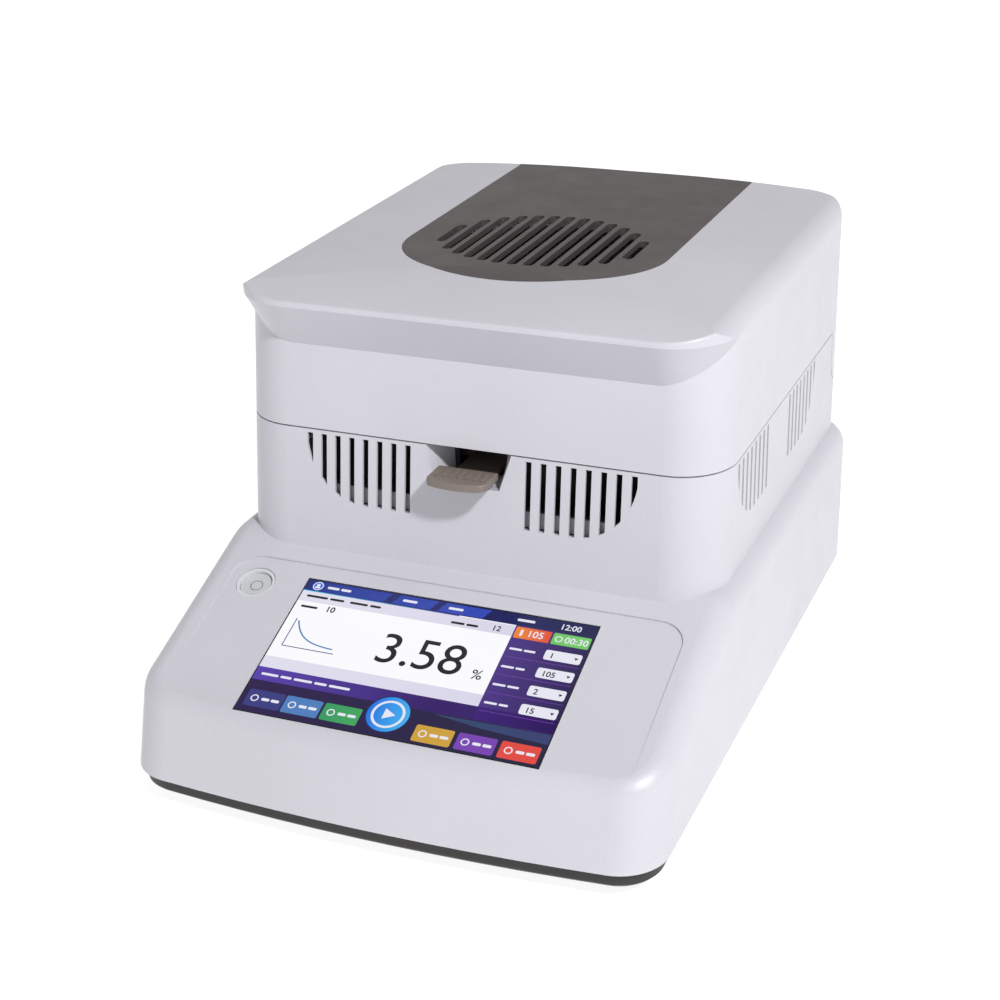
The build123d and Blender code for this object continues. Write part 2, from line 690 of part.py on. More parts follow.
def pan_handler():
    """Ring that lifts the pan, its arm through the pocket, and the ribbed finger tab."""
    top = HANDLER_Z + HANDLER_THICK
    inner = PAN_RADIUS + 0.5
    low = TAB_TOP_Z - TAB_THICK
    wall = tower_front(low)
    tab_front = wall - TAB_REACH
    tab_rear = wall + TAB_REAR_REACH
    hoop = ring(inner + HANDLER_RING, inner, CHAMBER_Y, HANDLER_Z, top)
    arm = block(-ARM_HALF, ARM_HALF, tab_rear - 2 * HANDLER_THICK, CHAMBER_Y - inner - 1, HANDLER_Z, top)
    arm += block(-ARM_HALF, ARM_HALF, tab_rear - 2 * HANDLER_THICK, tab_rear, HANDLER_Z, low + 1)
    tab = Pos(0, 0, low) * extrude(tab_outline(tab_front, tab_rear), TAB_THICK)
    tab = fillet(tab.faces().sort_by(Axis.Z)[-1].edges(), TAB_EDGE)
    pitch = 2 * (TAB_HALF - RIB_INSET) / (TAB_RIBS - 1)
    length = tab_rear - tab_front - 2 * RIB_INSET - TAB_BOW
    for k in range(TAB_RIBS):
        x = -TAB_HALF + RIB_INSET + k * pitch
        rib = fillet(Box(RIB_WIDTH, length, 2 * RIB_RISE).edges().filter_by(Axis.Y), 0.9 * RIB_RISE)
        tab += Pos(x, tab_rear - RIB_INSET - length / 2, TAB_TOP_Z) * rib
    return hoop + arm + tab


def cell_screw_places():
    """Two places along the cell's fixed end."""
    return [CELL_REAR_Y - 5, CELL_REAR_Y - 15]


def weighing_cell():
    """Aluminium bending block with its milled openings, held at the rear end."""
    y0 = CELL_REAR_Y - CELL_LENGTH
    half = CELL_WIDTH / 2
    mid = CELL_TOP - CELL_HEIGHT / 2
    near = CHAMBER_Y + CELL_LENGTH / 2 - 10 - CELL_THIN_PITCH / 2
    far = near + CELL_THIN_PITCH
    cell = block(-half, half, y0, CELL_REAR_Y, CELL_TOP - CELL_HEIGHT, CELL_TOP)
    for y in (near, far):
        cell -= rod_x(CELL_BORE, -CELL_WIDTH, CELL_WIDTH, y, mid)
    cell -= block(-CELL_WIDTH, CELL_WIDTH, near, far, mid - CELL_BORE / 2, mid + CELL_BORE / 2)
    for y in cell_screw_places():
        cell -= disc(CELL_SCREW + PIVOT_PLAY, 0, y, 0, SEAM_Z)
    return cell


def cell_mount():
    """Cast block that carries the weighing cell on the tray."""
    y1 = CELL_REAR_Y
    half = CELL_WIDTH / 2
    post = block(-half - 3, half + 3, y1 - 20, y1, TRAY_FLOOR, CELL_TOP - CELL_HEIGHT)
    post += block(-CELL_WIDTH, CELL_WIDTH, y1 - 34, y1 + 6, TRAY_FLOOR, TRAY_FLOOR + 5)
    for y in cell_screw_places():
        post -= disc(CELL_SCREW + PIVOT_PLAY, 0, y, CELL_TOP - CELL_HEIGHT - 14, SEAM_Z)
    return post


def cell_screws():
    """Screws that hold the weighing cell on its mount."""
    made = []
    for y in cell_screw_places():
        shank = disc(CELL_SCREW, 0, y, CELL_TOP - CELL_HEIGHT - 12, CELL_TOP)
        made.append(shank + disc(2 * CELL_SCREW - 0.5, 0, y, CELL_TOP, CELL_TOP + 4))
    return made


def standoffs(places, z1):
    """Round spacers from the tray floor to a board."""
    return [disc(3, x, y, TRAY_FLOOR, z1) for x, y in places]


def board_part(x, y, wide, deep, z, tall):
    """A box-shaped part on a board."""
    low = z + BOARD_THICK
    return block(x - wide / 2, x + wide / 2, y - deep / 2, y + deep / 2, low, low + tall)


def main_board():
    """Control board on spacers with its chips, relay and connectors."""
    z = TRAY_FLOOR + 10
    y0 = FRONT_Y + 48
    y1 = FRONT_Y + 112
    board = block(-75, 75, y0, y1, z, z + BOARD_THICK)
    board += board_part(-40, y0 + 20, 16, 16, z, 2.5)
    board += board_part(0, y0 + 24, 22, 22, z, 3)
    board += board_part(38, y0 + 18, 12, 20, z, 4)
    board += board_part(55, y0 + 45, 24, 10, z, 8)
    board += board_part(-58, y0 + 44, 14, 8, z, 6)
    for spacer in standoffs([(x, y) for x in (-70, 70) for y in (y0 + 5, y1 - 5)], z):
        board += spacer
    return board


def power_supply():
    """Mains supply board with transformer, capacitor and finned heat sink."""
    z = TRAY_FLOOR + 8
    y0 = REAR_Y - 130
    y1 = REAR_Y - 40
    board = block(-82, -35, y0, y1, z, z + BOARD_THICK)
    board += board_part(-64, y0 + 23, 30, 30, z, 24)
    board += disc(8, -71, y0 + 54, z + BOARD_THICK, z + 24)
    board += board_part(-41, y0 + 62, 10, 35, z, 3)
    for k in range(5):
        board += board_part(-45.5 + k * 2.2, y0 + 62, 1, 35, z, 26)
    for spacer in standoffs([(x, y) for x in (-78, -40) for y in (y0 + 4, y1 - 4)], z):
        board += spacer
    return board


def fan():
    """Square fan frame with its motor spider, and the bladed rotor."""
    y1 = REAR_Y - WALL - FIT
    y0 = y1 - FAN_DEPTH
    half = FAN_SIZE / 2
    spider_thick = 2.0
    pin = 1.5
    frame = block(FAN_X - half, FAN_X + half, y0, y1, FAN_Z - half, FAN_Z + half)
    frame -= rod_y(FAN_BORE, y0 - 1, y1 + 1, FAN_X, FAN_Z)
    frame += rod_y(FAN_HUB, y0, y0 + spider_thick, FAN_X, FAN_Z)
    for angle in (30, 150, 270):
        arm = Pos((FAN_BORE + 1) / 2, 0, 0) * Box(FAN_BORE + 1, spider_thick, 4)
        frame += Pos(FAN_X, y0 + spider_thick / 2, FAN_Z) * Rot(0, angle, 0) * arm
    frame += rod_y(pin, y0 + 1, y0 + 9, FAN_X, FAN_Z)
    for x, z in fan_screw_places():
        frame -= rod_y(SCREW_HOLE, y0 - 1, y1 + 1, x, z)
    tip = FAN_BORE - FAN_TIP_GAP
    rotor = rod_y(FAN_HUB, y0 + spider_thick + 0.5, y1 - 1.5, FAN_X, FAN_Z)
    blade = Pos((tip + FAN_HUB - 1) / 2, 0, 0) * Rot(38, 0, 0) * Box(tip - FAN_HUB + 1, 1.2, 11)
    for k in range(FAN_BLADES):
        rotor += Pos(FAN_X, (y0 + y1 + 1) / 2, FAN_Z) * Rot(0, 360 / FAN_BLADES * k, 0) * blade
    rotor &= rod_y(tip, y0 + spider_thick + 0.5, y1 - 1, FAN_X, FAN_Z)
    rotor -= rod_y(pin + PIVOT_PLAY, y0, y0 + 9.5, FAN_X, FAN_Z)
    return frame, rotor


def fan_guard():
    """Round wire guard over the fan opening, with an eye at each screw."""
    y1 = REAR_Y + GRILLE_PROUD
    span = FAN_HOLE_PITCH * math.sqrt(2)
    guard = Pos(FAN_X, REAR_Y + GRILLE_PROUD / 2, FAN_Z) * Rot(0, 45, 0) * Box(span - 4, GRILLE_PROUD, 2)
    guard += Pos(FAN_X, REAR_Y + GRILLE_PROUD / 2, FAN_Z) * Rot(0, 135, 0) * Box(span - 4, GRILLE_PROUD, 2)
    for radius in GUARD_RINGS:
        hoop = rod_y(radius, REAR_Y, y1, FAN_X, FAN_Z)
        guard += hoop - rod_y(radius - GUARD_WIRE, REAR_Y - 1, y1 + 1, FAN_X, FAN_Z)
    for x, z in fan_screw_places():
        guard -= rod_y(SCREW_HEAD + 0.2, REAR_Y - 1, y1 + 1, x, z)
        guard += rod_y(GUARD_EYE, REAR_Y, REAR_Y + GUARD_EYE_THICK, x, z)
        guard -= rod_y(SCREW_HOLE, REAR_Y - 1, y1 + 1, x, z)
    return guard


def fan_screws():
    """Screws through guard, rear wall and fan frame."""
    made = []
    for x, z in fan_screw_places():
        head = rod_y(SCREW_HEAD, REAR_Y + GUARD_EYE_THICK, REAR_Y + GRILLE_PROUD, x, z)
        made.append(head + rod_y(SCREW_RADIUS, REAR_Y - WALL - FAN_DEPTH, REAR_Y + GUARD_EYE_THICK, x, z))
    return made


def rear_block(x, z, wide, tall, y0, y1):
    """A box on the rear wall, centred across and in height."""
    return block(x - wide / 2, x + wide / 2, y0, y1, z - tall / 2, z + tall / 2)


def power_inlet():
    """Mains inlet: flanged body with a socket well, three pins and a bay for the fuse drawer."""
    y1 = REAR_Y + GRILLE_PROUD
    socket_z = INLET_Z - SOCKET_DROP
    bay_z = INLET_Z + DRAWER_LOW + DRAWER_TALL / 2
    inlet = rear_block(INLET_X, INLET_Z, INLET_WIDTH, INLET_HEIGHT, REAR_Y - INLET_DEPTH, REAR_Y)
    inlet += rear_block(INLET_X, INLET_Z, INLET_WIDTH + 4, INLET_HEIGHT + 4, REAR_Y, y1)
    inlet -= rear_block(INLET_X, socket_z, SOCKET_WIDTH, SOCKET_HEIGHT, REAR_Y - SOCKET_DEPTH, y1 + 1)
    for x, z in ((-7, -2), (0, 3), (7, -2)):
        inlet += rear_block(INLET_X + x, socket_z + z, 2, 4.4, REAR_Y - SOCKET_DEPTH - 1, REAR_Y - 3)
    return inlet - rear_block(INLET_X, bay_z, 2 * DRAWER_HALF, DRAWER_TALL, REAR_Y - DRAWER_DEPTH - 1, y1 + 1)


def fuse_drawer():
    """Drawer above the socket, and the two fuses that lie in it."""
    y1 = REAR_Y + GRILLE_PROUD - 0.2
    y0 = REAR_Y - DRAWER_DEPTH
    z0 = INLET_Z + DRAWER_LOW + FIT
    z1 = INLET_Z + DRAWER_LOW + DRAWER_TALL - FIT
    half = DRAWER_HALF - FIT
    drawer = block(INLET_X - half, INLET_X + half, y0, y1, z0, z1)
    drawer -= block(INLET_X - half + 1.5, INLET_X + half - 1.5, y0 + 1.5, REAR_Y - 1, z0 + 1.5, z1 + 5)
    fuses = []
    start = y0 + 1.8
    fuse_z = z0 + 1.5 + FUSE_RADIUS + 0.05
    for x in (-4.5, 4.5):
        fuses.append(rod_y(FUSE_RADIUS, start, start + FUSE_LENGTH, INLET_X + x, fuse_z))
    return drawer, fuses


def power_switch():
    """Rocker switch body with its bezel, and the rocker on its pivot."""
    wide, tall = SWITCH_WIDTH, SWITCH_HEIGHT
    pivot_y = REAR_Y - PIVOT_DEPTH
    body = rear_block(SWITCH_X, INLET_Z, wide, tall, REAR_Y - SWITCH_DEPTH, REAR_Y)
    body += rear_block(SWITCH_X, INLET_Z, wide + 2 * BEZEL, tall + 2 * BEZEL, REAR_Y, REAR_Y + GRILLE_PROUD)
    well_y = REAR_Y - 2 * PIVOT_DEPTH
    body -= rear_block(SWITCH_X, INLET_Z, wide - 2 * BEZEL, tall - 2 * BEZEL, well_y, REAR_Y + 5)
    half = wide / 2 - BEZEL - FIT
    edge = tall / 2 - BEZEL - 1.3
    points = [
        (REAR_Y + 0.7, INLET_Z + edge), (REAR_Y - 1.6, INLET_Z), (REAR_Y - 0.9, INLET_Z - edge),
        (pivot_y, INLET_Z - edge + 2), (pivot_y - 2, INLET_Z), (pivot_y, INLET_Z + edge - 2),
    ]
    rocker = Pos(SWITCH_X, 0, 0) * side_prism(points, half)
    rocker += rod_x(PIVOT_RADIUS, SWITCH_X - half - 0.8, SWITCH_X + half + 0.8, pivot_y, INLET_Z)
    body -= rod_x(PIVOT_RADIUS + PIVOT_PLAY, SWITCH_X - half - 0.9, SWITCH_X + half + 0.9, pivot_y, INLET_Z)
    return body, rocker


def serial_port():
    """Nine-pin serial socket."""
    y1 = REAR_Y + PORT_PROUD
    port = rear_block(SERIAL_X, SERIAL_Z, SERIAL_WIDTH, SERIAL_HEIGHT, REAR_Y - SERIAL_DEPTH, y1)
    well_y = REAR_Y - SERIAL_DEPTH / 2
    port -= rear_block(SERIAL_X, SERIAL_Z, SERIAL_WIDTH - 3, SERIAL_HEIGHT - 2.5, well_y, y1 + 1)
    for row, count in ((1.4, 5), (-1.4, 4)):
        for k in range(count):
            x = SERIAL_X + (k - (count - 1) / 2) * PIN_PITCH
            port += rod_y(0.5, REAR_Y - SERIAL_DEPTH / 2 - 0.5, REAR_Y - 1, x, SERIAL_Z + row)
    return port


def usb_port():
    """USB socket with its tongue."""
    y1 = REAR_Y + PORT_PROUD
    port = rear_block(SERIAL_X, USB_Z, USB_WIDTH, USB_HEIGHT, REAR_Y - USB_DEPTH, y1)
    port -= rear_block(SERIAL_X, USB_Z, USB_WIDTH - 2, USB_HEIGHT - 2, REAR_Y - USB_DEPTH + 4, y1 + 1)
    return port + rear_block(SERIAL_X, USB_Z, USB_WIDTH - 5, 2, REAR_Y - USB_DEPTH + 3, REAR_Y - 1)


def hinge_brackets():
    """Steel ears on the trough's front wall that carry the hinge shaft."""
    made = []
    room = hinge_profile(TROUGH_RADIUS, SEAM_Z, TROUGH_FRONT)
    for side in (-1, 1):
        x0 = side * BRACKET_X - BRACKET_THICK / 2
        x1 = x0 + BRACKET_THICK
        ear = block(x0, x1, TROUGH_FRONT, HINGE_Y, HINGE_Z - BRACKET_HALF, HINGE_Z + BRACKET_HALF)
        ear &= room
        ear += rod_x(BRACKET_HALF, x0, x1, HINGE_Y, HINGE_Z)
        ear -= rod_x(SHAFT_RADIUS + SHAFT_PLAY, x0 - 1, x1 + 1, HINGE_Y, HINGE_Z)
        made.append(ear)
    return made


def hinge_shaft():
    """Steel rod through the brackets and the lid's ribs."""
    reach = BRACKET_X + BRACKET_THICK / 2 + HINGE_SLOT_PLAY + RIB_THICK + 2
    return rod_x(SHAFT_RADIUS, -reach, reach, HINGE_Y, HINGE_Z)


def front_fall(top):
    """Everything under a surface that is level at the rear and falls away towards the lip."""
    room = rod_x(FALL_RADIUS, -BASE_WIDTH, BASE_WIDTH, FALL_Y, top - FALL_RADIUS)
    return room + block(-BASE_WIDTH, BASE_WIDTH, FALL_Y, REAR_Y + 20, SEAM_Z - 60, top)


def crown_prism(top):
    """Everything under a gently crowned surface that falls towards the lip."""
    slab = block(-BASE_WIDTH, BASE_WIDTH, FRONT_Y, REAR_Y + 20, SEAM_Z - 60, LID_TOP + 20)
    slab &= Pos(0, 0, top - CROWN_RADIUS) * Rot(90, 0, 0) * Cylinder(CROWN_RADIUS, 3 * DEPTH)
    return slab & front_fall(top)


def lid_section():
    """Everything inside the lid's cross section: crowned top with softly rounded sides."""
    half = TOWER_WIDTH / 2
    edge = LID_TOP - CROWN_RADIUS + math.sqrt(CROWN_RADIUS**2 - half**2)
    low = HINGE_Z - 20
    face = make_face([
        Line((-half, low), (half, low)),
        Line((half, low), (half, edge)),
        ThreePointArc((half, edge), (0, LID_TOP), (-half, edge)),
        Line((-half, edge), (-half, low)),
    ])
    face = fillet(face.vertices().sort_by(Axis.Y)[-2:], LID_SIDE_ROUND)
    return extrude(Plane.XZ * face, DEPTH, both=True)


def rear_round():
    """Everything inside the lid's side outline, with its upper rear edge rounded."""
    corners = [(FRONT_Y, HINGE_Z - 20), (REAR_Y, HINGE_Z - 20), (REAR_Y, LID_TOP), (FRONT_Y, LID_TOP)]
    face = make_face(Polyline(*corners, close=True))
    face = fillet(face.vertices().group_by(Axis.Y)[-1].sort_by(Axis.X)[-1], LID_EDGE_ROUND)
    return extrude(Plane.YZ * face, BASE_WIDTH, both=True)


def lid_outer():
    """Outside form of the lid: walls, slanted underside, crowned top with the lip, and the barrel tail."""
    z0 = SEAM_Z + SEAM_GAP
    half = TOWER_WIDTH / 2
    front = tower_front(LIP_UNDER_Z)
    over = LIP_OVERHANG
    lip = plan_face(half, front - over, REAR_Y, 0, LIP_CORNER, REAR_CORNER, LIP_EDGE_Z)
    low = plan_face(half - over, front, REAR_Y - over, 0, LIP_CORNER - over, REAR_CORNER - over, LIP_UNDER_Z)
    form = tower_form(0, z0, LIP_EDGE_Z) + loft([low, lip]) + extrude(lip, LID_TOP - LIP_EDGE_Z)
    form = form & lid_section() & front_fall(LID_TOP) & rear_round()
    near = form.edges().filter_by(lambda e: e.center().Y < front - over / 2 and not is_upright(e))
    rim = near.filter_by(lambda e: e.center().Z > LIP_EDGE_Z + 1)
    form = fillet(rim, RIM_ROUND)
    tail_face = plan_face(half, HINGE_Y - 40, REAR_Y, 0, 5, REAR_CORNER, HINGE_Z - 20)
    tail = extrude(tail_face, SEAM_Z - HINGE_Z + 22)
    return form + (tail & hinge_profile(HINGE_RADIUS, z0 + 1, HINGE_Y - HINGE_RADIUS))


def is_upright(edge):
    """True for a straight edge along Z."""
    return edge.geom_type == GeomType.LINE and abs(edge.tangent_at(0.5).Z) > 0.99


def grille_outline(gap):
    """Arched outline of the dark top panel."""
    width = GRILLE_HALF_WIDTH - gap
    face = Pos(0, GRILLE_ARCH_Y) * Ellipse(width, GRILLE_ARCH - gap)
    length = REAR_Y + 10 - GRILLE_ARCH_Y
    return face + Pos(0, GRILLE_ARCH_Y + length / 2) * Rectangle(2 * width, length)


def lid_cover(outer):
    """White outer shell of the lid."""
    inner = LID_WALL
    hollow = tower_form(inner, SEAM_Z - 10, LID_TOP + 5) & crown_prism(LID_TOP - LID_WALL - GRILLE_THICK)
    hollow -= block(-BASE_WIDTH, BASE_WIDTH, HINGE_Y - HINGE_RADIUS, REAR_Y + 9, 0, SEAM_Z + SEAM_GAP + 0.5)
    half = TOWER_WIDTH / 2 - inner
    tail_face = plan_face(half, HINGE_Y - 40, REAR_Y - inner, 0, 5, REAR_CORNER - inner, HINGE_Z - 20)
    tail = extrude(tail_face, 50)
    tail &= hinge_profile(HINGE_RADIUS - inner, SEAM_Z + 10, HINGE_Y - HINGE_RADIUS + inner)
    shell = outer - hollow - tail
    recess = extrude(grille_outline(0), 2 * LID_TOP) - crown_prism(LID_TOP - GRILLE_THICK)
    shell -= recess
    shell -= Pos(0, TOP_SLOT_Y, 0) * extrude(Ellipse(TOP_SLOT_HALF_X + 3, TOP_SLOT_HALF_Y + 3), 2 * LID_TOP)
    for side in (-1, 1):
        x0 = side * BRACKET_X
        near = BRACKET_THICK / 2 + HINGE_SLOT_PLAY
        a, b = sorted((x0 + side * near, x0 + side * (near + RIB_THICK)))
        rib = block(a, b, HINGE_Y - 9.5, HINGE_Y + 9.5, HINGE_Z, SEAM_Z + 8)
        rib += rod_x(HINGE_RADIUS - inner + 0.5, a, b, HINGE_Y, HINGE_Z)
        shell += rib
        shell -= rod_x(SHAFT_RADIUS + SHAFT_PLAY, a - 1, b + 1, HINGE_Y, HINGE_Z)
        shell -= block(x0 - near, x0 + near, HINGE_Y - 14, HINGE_Y + 4.8, HINGE_Z - 14, HINGE_Z + 5)
    for x, y in lid_screw_places():
        shell += disc(LID_BOSS, x, y, SHIELD_Z + SHEET, LID_TOP - 7)
        shell -= disc(SCREW_HOLE, x, y, SHIELD_Z, SHIELD_Z + 16)
    return shell


def lid_screw_places():
    """Four places where the heat shield is screwed to the lid."""
    return [(sx * LID_SCREW_X, y) for sx in (-1, 1) for y in (CHAMBER_Y - 52, CHAMBER_Y + 60)]


def heat_shield():
    """Sheet that closes the lid from below round the lamp glass."""
    plate = tower_form(LID_WALL + FIT, SHIELD_Z, SHIELD_Z + SHEET)
    plate -= block(-BASE_WIDTH, BASE_WIDTH, HINGE_Y - HINGE_RADIUS, REAR_Y + 9, 0, LID_TOP)
    plate -= disc(LAMP_GLASS_RADIUS - 4, 0, CHAMBER_Y, 0, 200)
    for x, y in lid_screw_places():
        plate -= disc(SCREW_HOLE, x, y, 0, 200)
    return plate


def revolved(points):
    """A solid of revolution on the chamber's axis, from (radius, height) points."""
    return Pos(0, CHAMBER_Y, 0) * revolve(Plane.XZ * make_face(Polyline(*points, close=True)), Axis.Z)


def reflector():
    """Spun reflector bowl over the lamp, with a hole for the sensor."""
    z0 = SHIELD_Z + SHEET
    z1 = z0 + REFLECTOR_BEND
    z2 = REFLECTOR_TOP_Z
    r = LAMP_GLASS_RADIUS + 1
    t = 1.0
    points = [
        (r, z0), (r + 6, z0), (r + 6, z0 + t), (r + t, z0 + t), (r + t, z1), (r - REFLECTOR_BEND, z2 + t),
        (REFLECTOR_HOLE, z2 + t), (REFLECTOR_HOLE, z2), (r - REFLECTOR_BEND - t / 2, z2), (r, z1),
    ]
    return revolved(points)


def temp_sensor():
    """Sensor probe that hangs through the hole of the reflector on its round plate."""
    top = REFLECTOR_TOP_Z + 1
    plate = disc(REFLECTOR_HOLE + 2, 0, CHAMBER_Y, top, top + 1.5)
    return plate + disc(3, 0, CHAMBER_Y, top - 12, top)


def lamp():
    """Halogen ring tube, the ceramic socket round it and the two clips that hold it."""
    tube = Pos(0, CHAMBER_Y, LAMP_Z) * Torus(LAMP_RADIUS, LAMP_TUBE)
    tunnel = Pos(0, CHAMBER_Y, LAMP_Z) * Torus(LAMP_RADIUS, LAMP_TUBE + FIT)
    near = CHAMBER_Y + LAMP_RADIUS - 6
    socket = block(-6, 6, near, near + 10, LAMP_Z - 6, REFLECTOR_TOP_Z) - tunnel
    low = LAMP_Z + LAMP_TUBE + FIT
    clips = []
    for angle in (210, 330):
        clip = Pos(LAMP_RADIUS, 0, (low + REFLECTOR_TOP_Z) / 2) * Box(6, 4, REFLECTOR_TOP_Z - low)
        clips.append(Pos(0, CHAMBER_Y, 0) * Rot(0, 0, angle) * clip)
    return tube, socket, clips


def lamp_glass():
    """Round glass under the lamp, and the ring that holds it."""
    z0 = SHIELD_Z + SHEET
    z1 = z0 + LAMP_GLASS_THICK
    glass = disc(LAMP_GLASS_RADIUS, 0, CHAMBER_Y, z0, z1)
    return glass, ring(LAMP_GLASS_RADIUS - 0.5, LAMP_GLASS_RADIUS - 5, CHAMBER_Y, z1, z1 + 1.2)


def lid_screws():
    """Screws that hold the heat shield."""
    made = []
    for x, y in lid_screw_places():
        shank = disc(SCREW_RADIUS, x, y, SHIELD_Z, SHIELD_Z + 12)
        made.append(shank + disc(SCREW_HEAD, x, y, SHIELD_Z - SCREW_HEAD_HIGH, SHIELD_Z))
    return made


def grille_panel(outer):
    """Dark top panel with its long cooling slots."""
    panel = (outer & extrude(grille_outline(0.15), 2 * LID_TOP)) - crown_prism(LID_TOP - GRILLE_THICK)
    for k in range(TOP_SLOTS):
        x = (k - (TOP_SLOTS - 1) / 2) * TOP_SLOT_PITCH
        length = 2 * TOP_SLOT_HALF_Y * math.sqrt(1 - (x / TOP_SLOT_HALF_X) ** 2)
        slot = extrude(SlotOverall(length, TOP_SLOT_WIDTH, rotation=90), 2 * LID_TOP)
        panel -= Pos(x, TOP_SLOT_Y, 0) * slot
    return panel


def build_base():
    """Writes the pieces of the base."""
    save("main_housing", main_housing())
    save("bottom_tray", bottom_tray())
    save("tray_screws", tray_screws())
    for name, (x, y) in foot_places().items():
        save(f"foot_wheel_{name}", foot_wheel(x, y))
        save(f"foot_pad_{name}", foot_pad(x, y))
    lens, module = display()
    save("display_lens", lens)
    save("display_module", module)
    cup, vial = level()
    save("level_cup", cup)
    save("level_vial", vial)
    save("chamber_deck", chamber_deck())
    save("chamber_wall", chamber_wall())
    save("draft_shield", draft_shield())
    save("pan_support", pan_support())
    save("sample_pan", sample_pan())
    save("pan_handler", pan_handler())
    save("weighing_cell", weighing_cell())
    save("cell_mount", cell_mount())
    save("cell_screws", cell_screws())
    save("main_board", main_board())
    save("power_supply", power_supply())
    frame, rotor = fan()
    save("fan_frame", frame)
    save("fan_rotor", rotor)
    save("fan_guard", fan_guard())
    save("fan_screws", fan_screws())
    save("power_inlet", power_inlet())
    drawer, fuses = fuse_drawer()
    save("fuse_drawer", drawer)
    save("fuses", fuses)
    body, rocker = power_switch()
    save("switch_body", body)
    save("switch_rocker", rocker)
    save("serial_port", serial_port())
    save("usb_port", usb_port())
    save("hinge_brackets", hinge_brackets())


def build_lid():
    """Writes the pieces that swing with the lid."""
    outer = lid_outer()
    save("lid_cover", lid_cover(outer))
    save("lid_grille", grille_panel(outer))
    save("hinge_shaft", hinge_shaft())
    save("heat_shield", heat_shield())
    save("reflector", reflector())
    tube, socket, clips = lamp()
    save("halogen_lamp", tube)
    save("lamp_socket", socket)
    save("lamp_clips", clips)
    glass, holder = lamp_glass()
    save("lamp_glass", glass)
    save("glass_ring", holder)
    save("temp_sensor", temp_sensor())
    save("lid_screws", lid_screws())


build_base()
build_lid()
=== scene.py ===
"""Looks of the moisture analyzer: finishes, display page, level, small trim, light and camera."""
import math

import bmesh
import bpy
from mathutils import Matrix, Vector


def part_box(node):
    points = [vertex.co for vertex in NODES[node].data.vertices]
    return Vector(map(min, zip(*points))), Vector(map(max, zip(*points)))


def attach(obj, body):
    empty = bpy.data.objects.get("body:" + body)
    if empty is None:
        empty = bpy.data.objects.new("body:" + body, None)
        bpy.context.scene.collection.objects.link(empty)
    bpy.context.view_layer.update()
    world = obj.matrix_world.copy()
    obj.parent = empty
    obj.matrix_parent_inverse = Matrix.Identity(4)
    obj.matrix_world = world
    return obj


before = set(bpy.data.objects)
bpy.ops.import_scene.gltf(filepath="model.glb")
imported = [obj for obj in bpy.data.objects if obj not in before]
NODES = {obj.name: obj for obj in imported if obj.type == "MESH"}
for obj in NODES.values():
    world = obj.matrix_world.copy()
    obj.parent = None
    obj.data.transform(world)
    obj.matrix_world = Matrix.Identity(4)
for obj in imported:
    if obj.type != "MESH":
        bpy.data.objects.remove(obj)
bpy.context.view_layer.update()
MM = 0.001

# Camera, from the fit of the photo's perspective. Angles in degrees, place in metres
CAMERA_AT = (0.26643, -0.66265, 0.39757)
CAMERA_AZIMUTH = 22.512
CAMERA_ELEVATION = 23.989
CAMERA_ROLL = -1.31
CAMERA_LENS = 69.063
SENSOR = 36.0

# Light. The key comes from the right and the front, as the tab's shadow on the tower shows
KEY_FROM = (0.56, -0.45, 0.69)
KEY_AIM = Vector((0.0, 0.0, 0.09))
KEY_DISTANCE = 2.0
KEY_SIZE = 0.16
KEY_POWER = 33.0
HORIZON_LIGHT = 0.75
SKY_LIGHT = 0.36
FLOOR_GLOW = 0.90

# Base colours, linear
WHITE = (0.545, 0.540, 0.590)
GRILLE = (0.070, 0.058, 0.058)
TRAY = (0.024, 0.021, 0.020)
HANDLER = (0.190, 0.155, 0.135)
STEEL = (0.56, 0.57, 0.58)
ALUMINIUM = (0.74, 0.75, 0.76)
BLACK = (0.018, 0.018, 0.020)
BOARD = (0.012, 0.075, 0.035)
DECK_GREY = (0.42, 0.40, 0.43)

# Display page, in millimetres from the middle of the cover lens
PAGE_HALF_U = 59.6
PAGE_HALF_V = 33.9
HEADER_LOW = 28.3
COLUMN_LEFT = 29.0
STRIP_TOP = -12.4
STRIP_LOW = -18.8
LAYER = 0.012
DIGIT_LAYER = 4
DIGIT_SHARE = 0.72
EDGE = 0.2
MARK = (-54.6, 31.1)
START_KEY = (-1.8, -23.4)
KEY_WIDTH = 14.8
ROW_TOP = 15.0
ROW_STEP = 8.9
ROWS = 4
CORNER_STEPS = 6
CIRCLE_STEPS = 48

# Ring of the round level, in millimetres
LEVEL_RING_RADII = (2.3, 2.55)
LEVEL_RING_LIFT = 0.02
LEVEL_RING_THICK = 0.03
LEVEL_RING_STEPS = 64

# Patterns of the finishes, in repeats per metre of object space
FLOW_SCALE = 14.0
WEAR_SCALE = 70.0
SPECKLE_SCALE = 900.0
STREAK_SCALE = 900.0
TURNED_RING_SCALE = 260.0
PIXEL_SCALE = 9000.0
NOISE_LOW = 0.3
NOISE_HIGH = 0.7

GLASS_ROUGH = 0.03
GLASS_IOR = 1.48
PIXEL_DIM = 0.93
# Rise above the draft shield's foot, in millimetres, up to which the tower's deck is painted black as shade
PAINTED_SHADE_RISE = 0.3
FACE_TOLERANCE = 0.02
SLOPED_NORMAL = 0.5
FLOOR_HALF = 6.0
HORIZON_END = 0.10
SKY_START = 0.45


def new_material(name):
    """An empty node material with its shader."""
    mat = bpy.data.materials.new(name)
    mat.use_nodes = True
    nodes = mat.node_tree.nodes
    nodes.clear()
    out = nodes.new("ShaderNodeOutputMaterial")
    shader = nodes.new("ShaderNodeBsdfPrincipled")
    mat.node_tree.links.new(shader.outputs["BSDF"], out.inputs["Surface"])
    return mat, nodes, mat.node_tree.links, shader


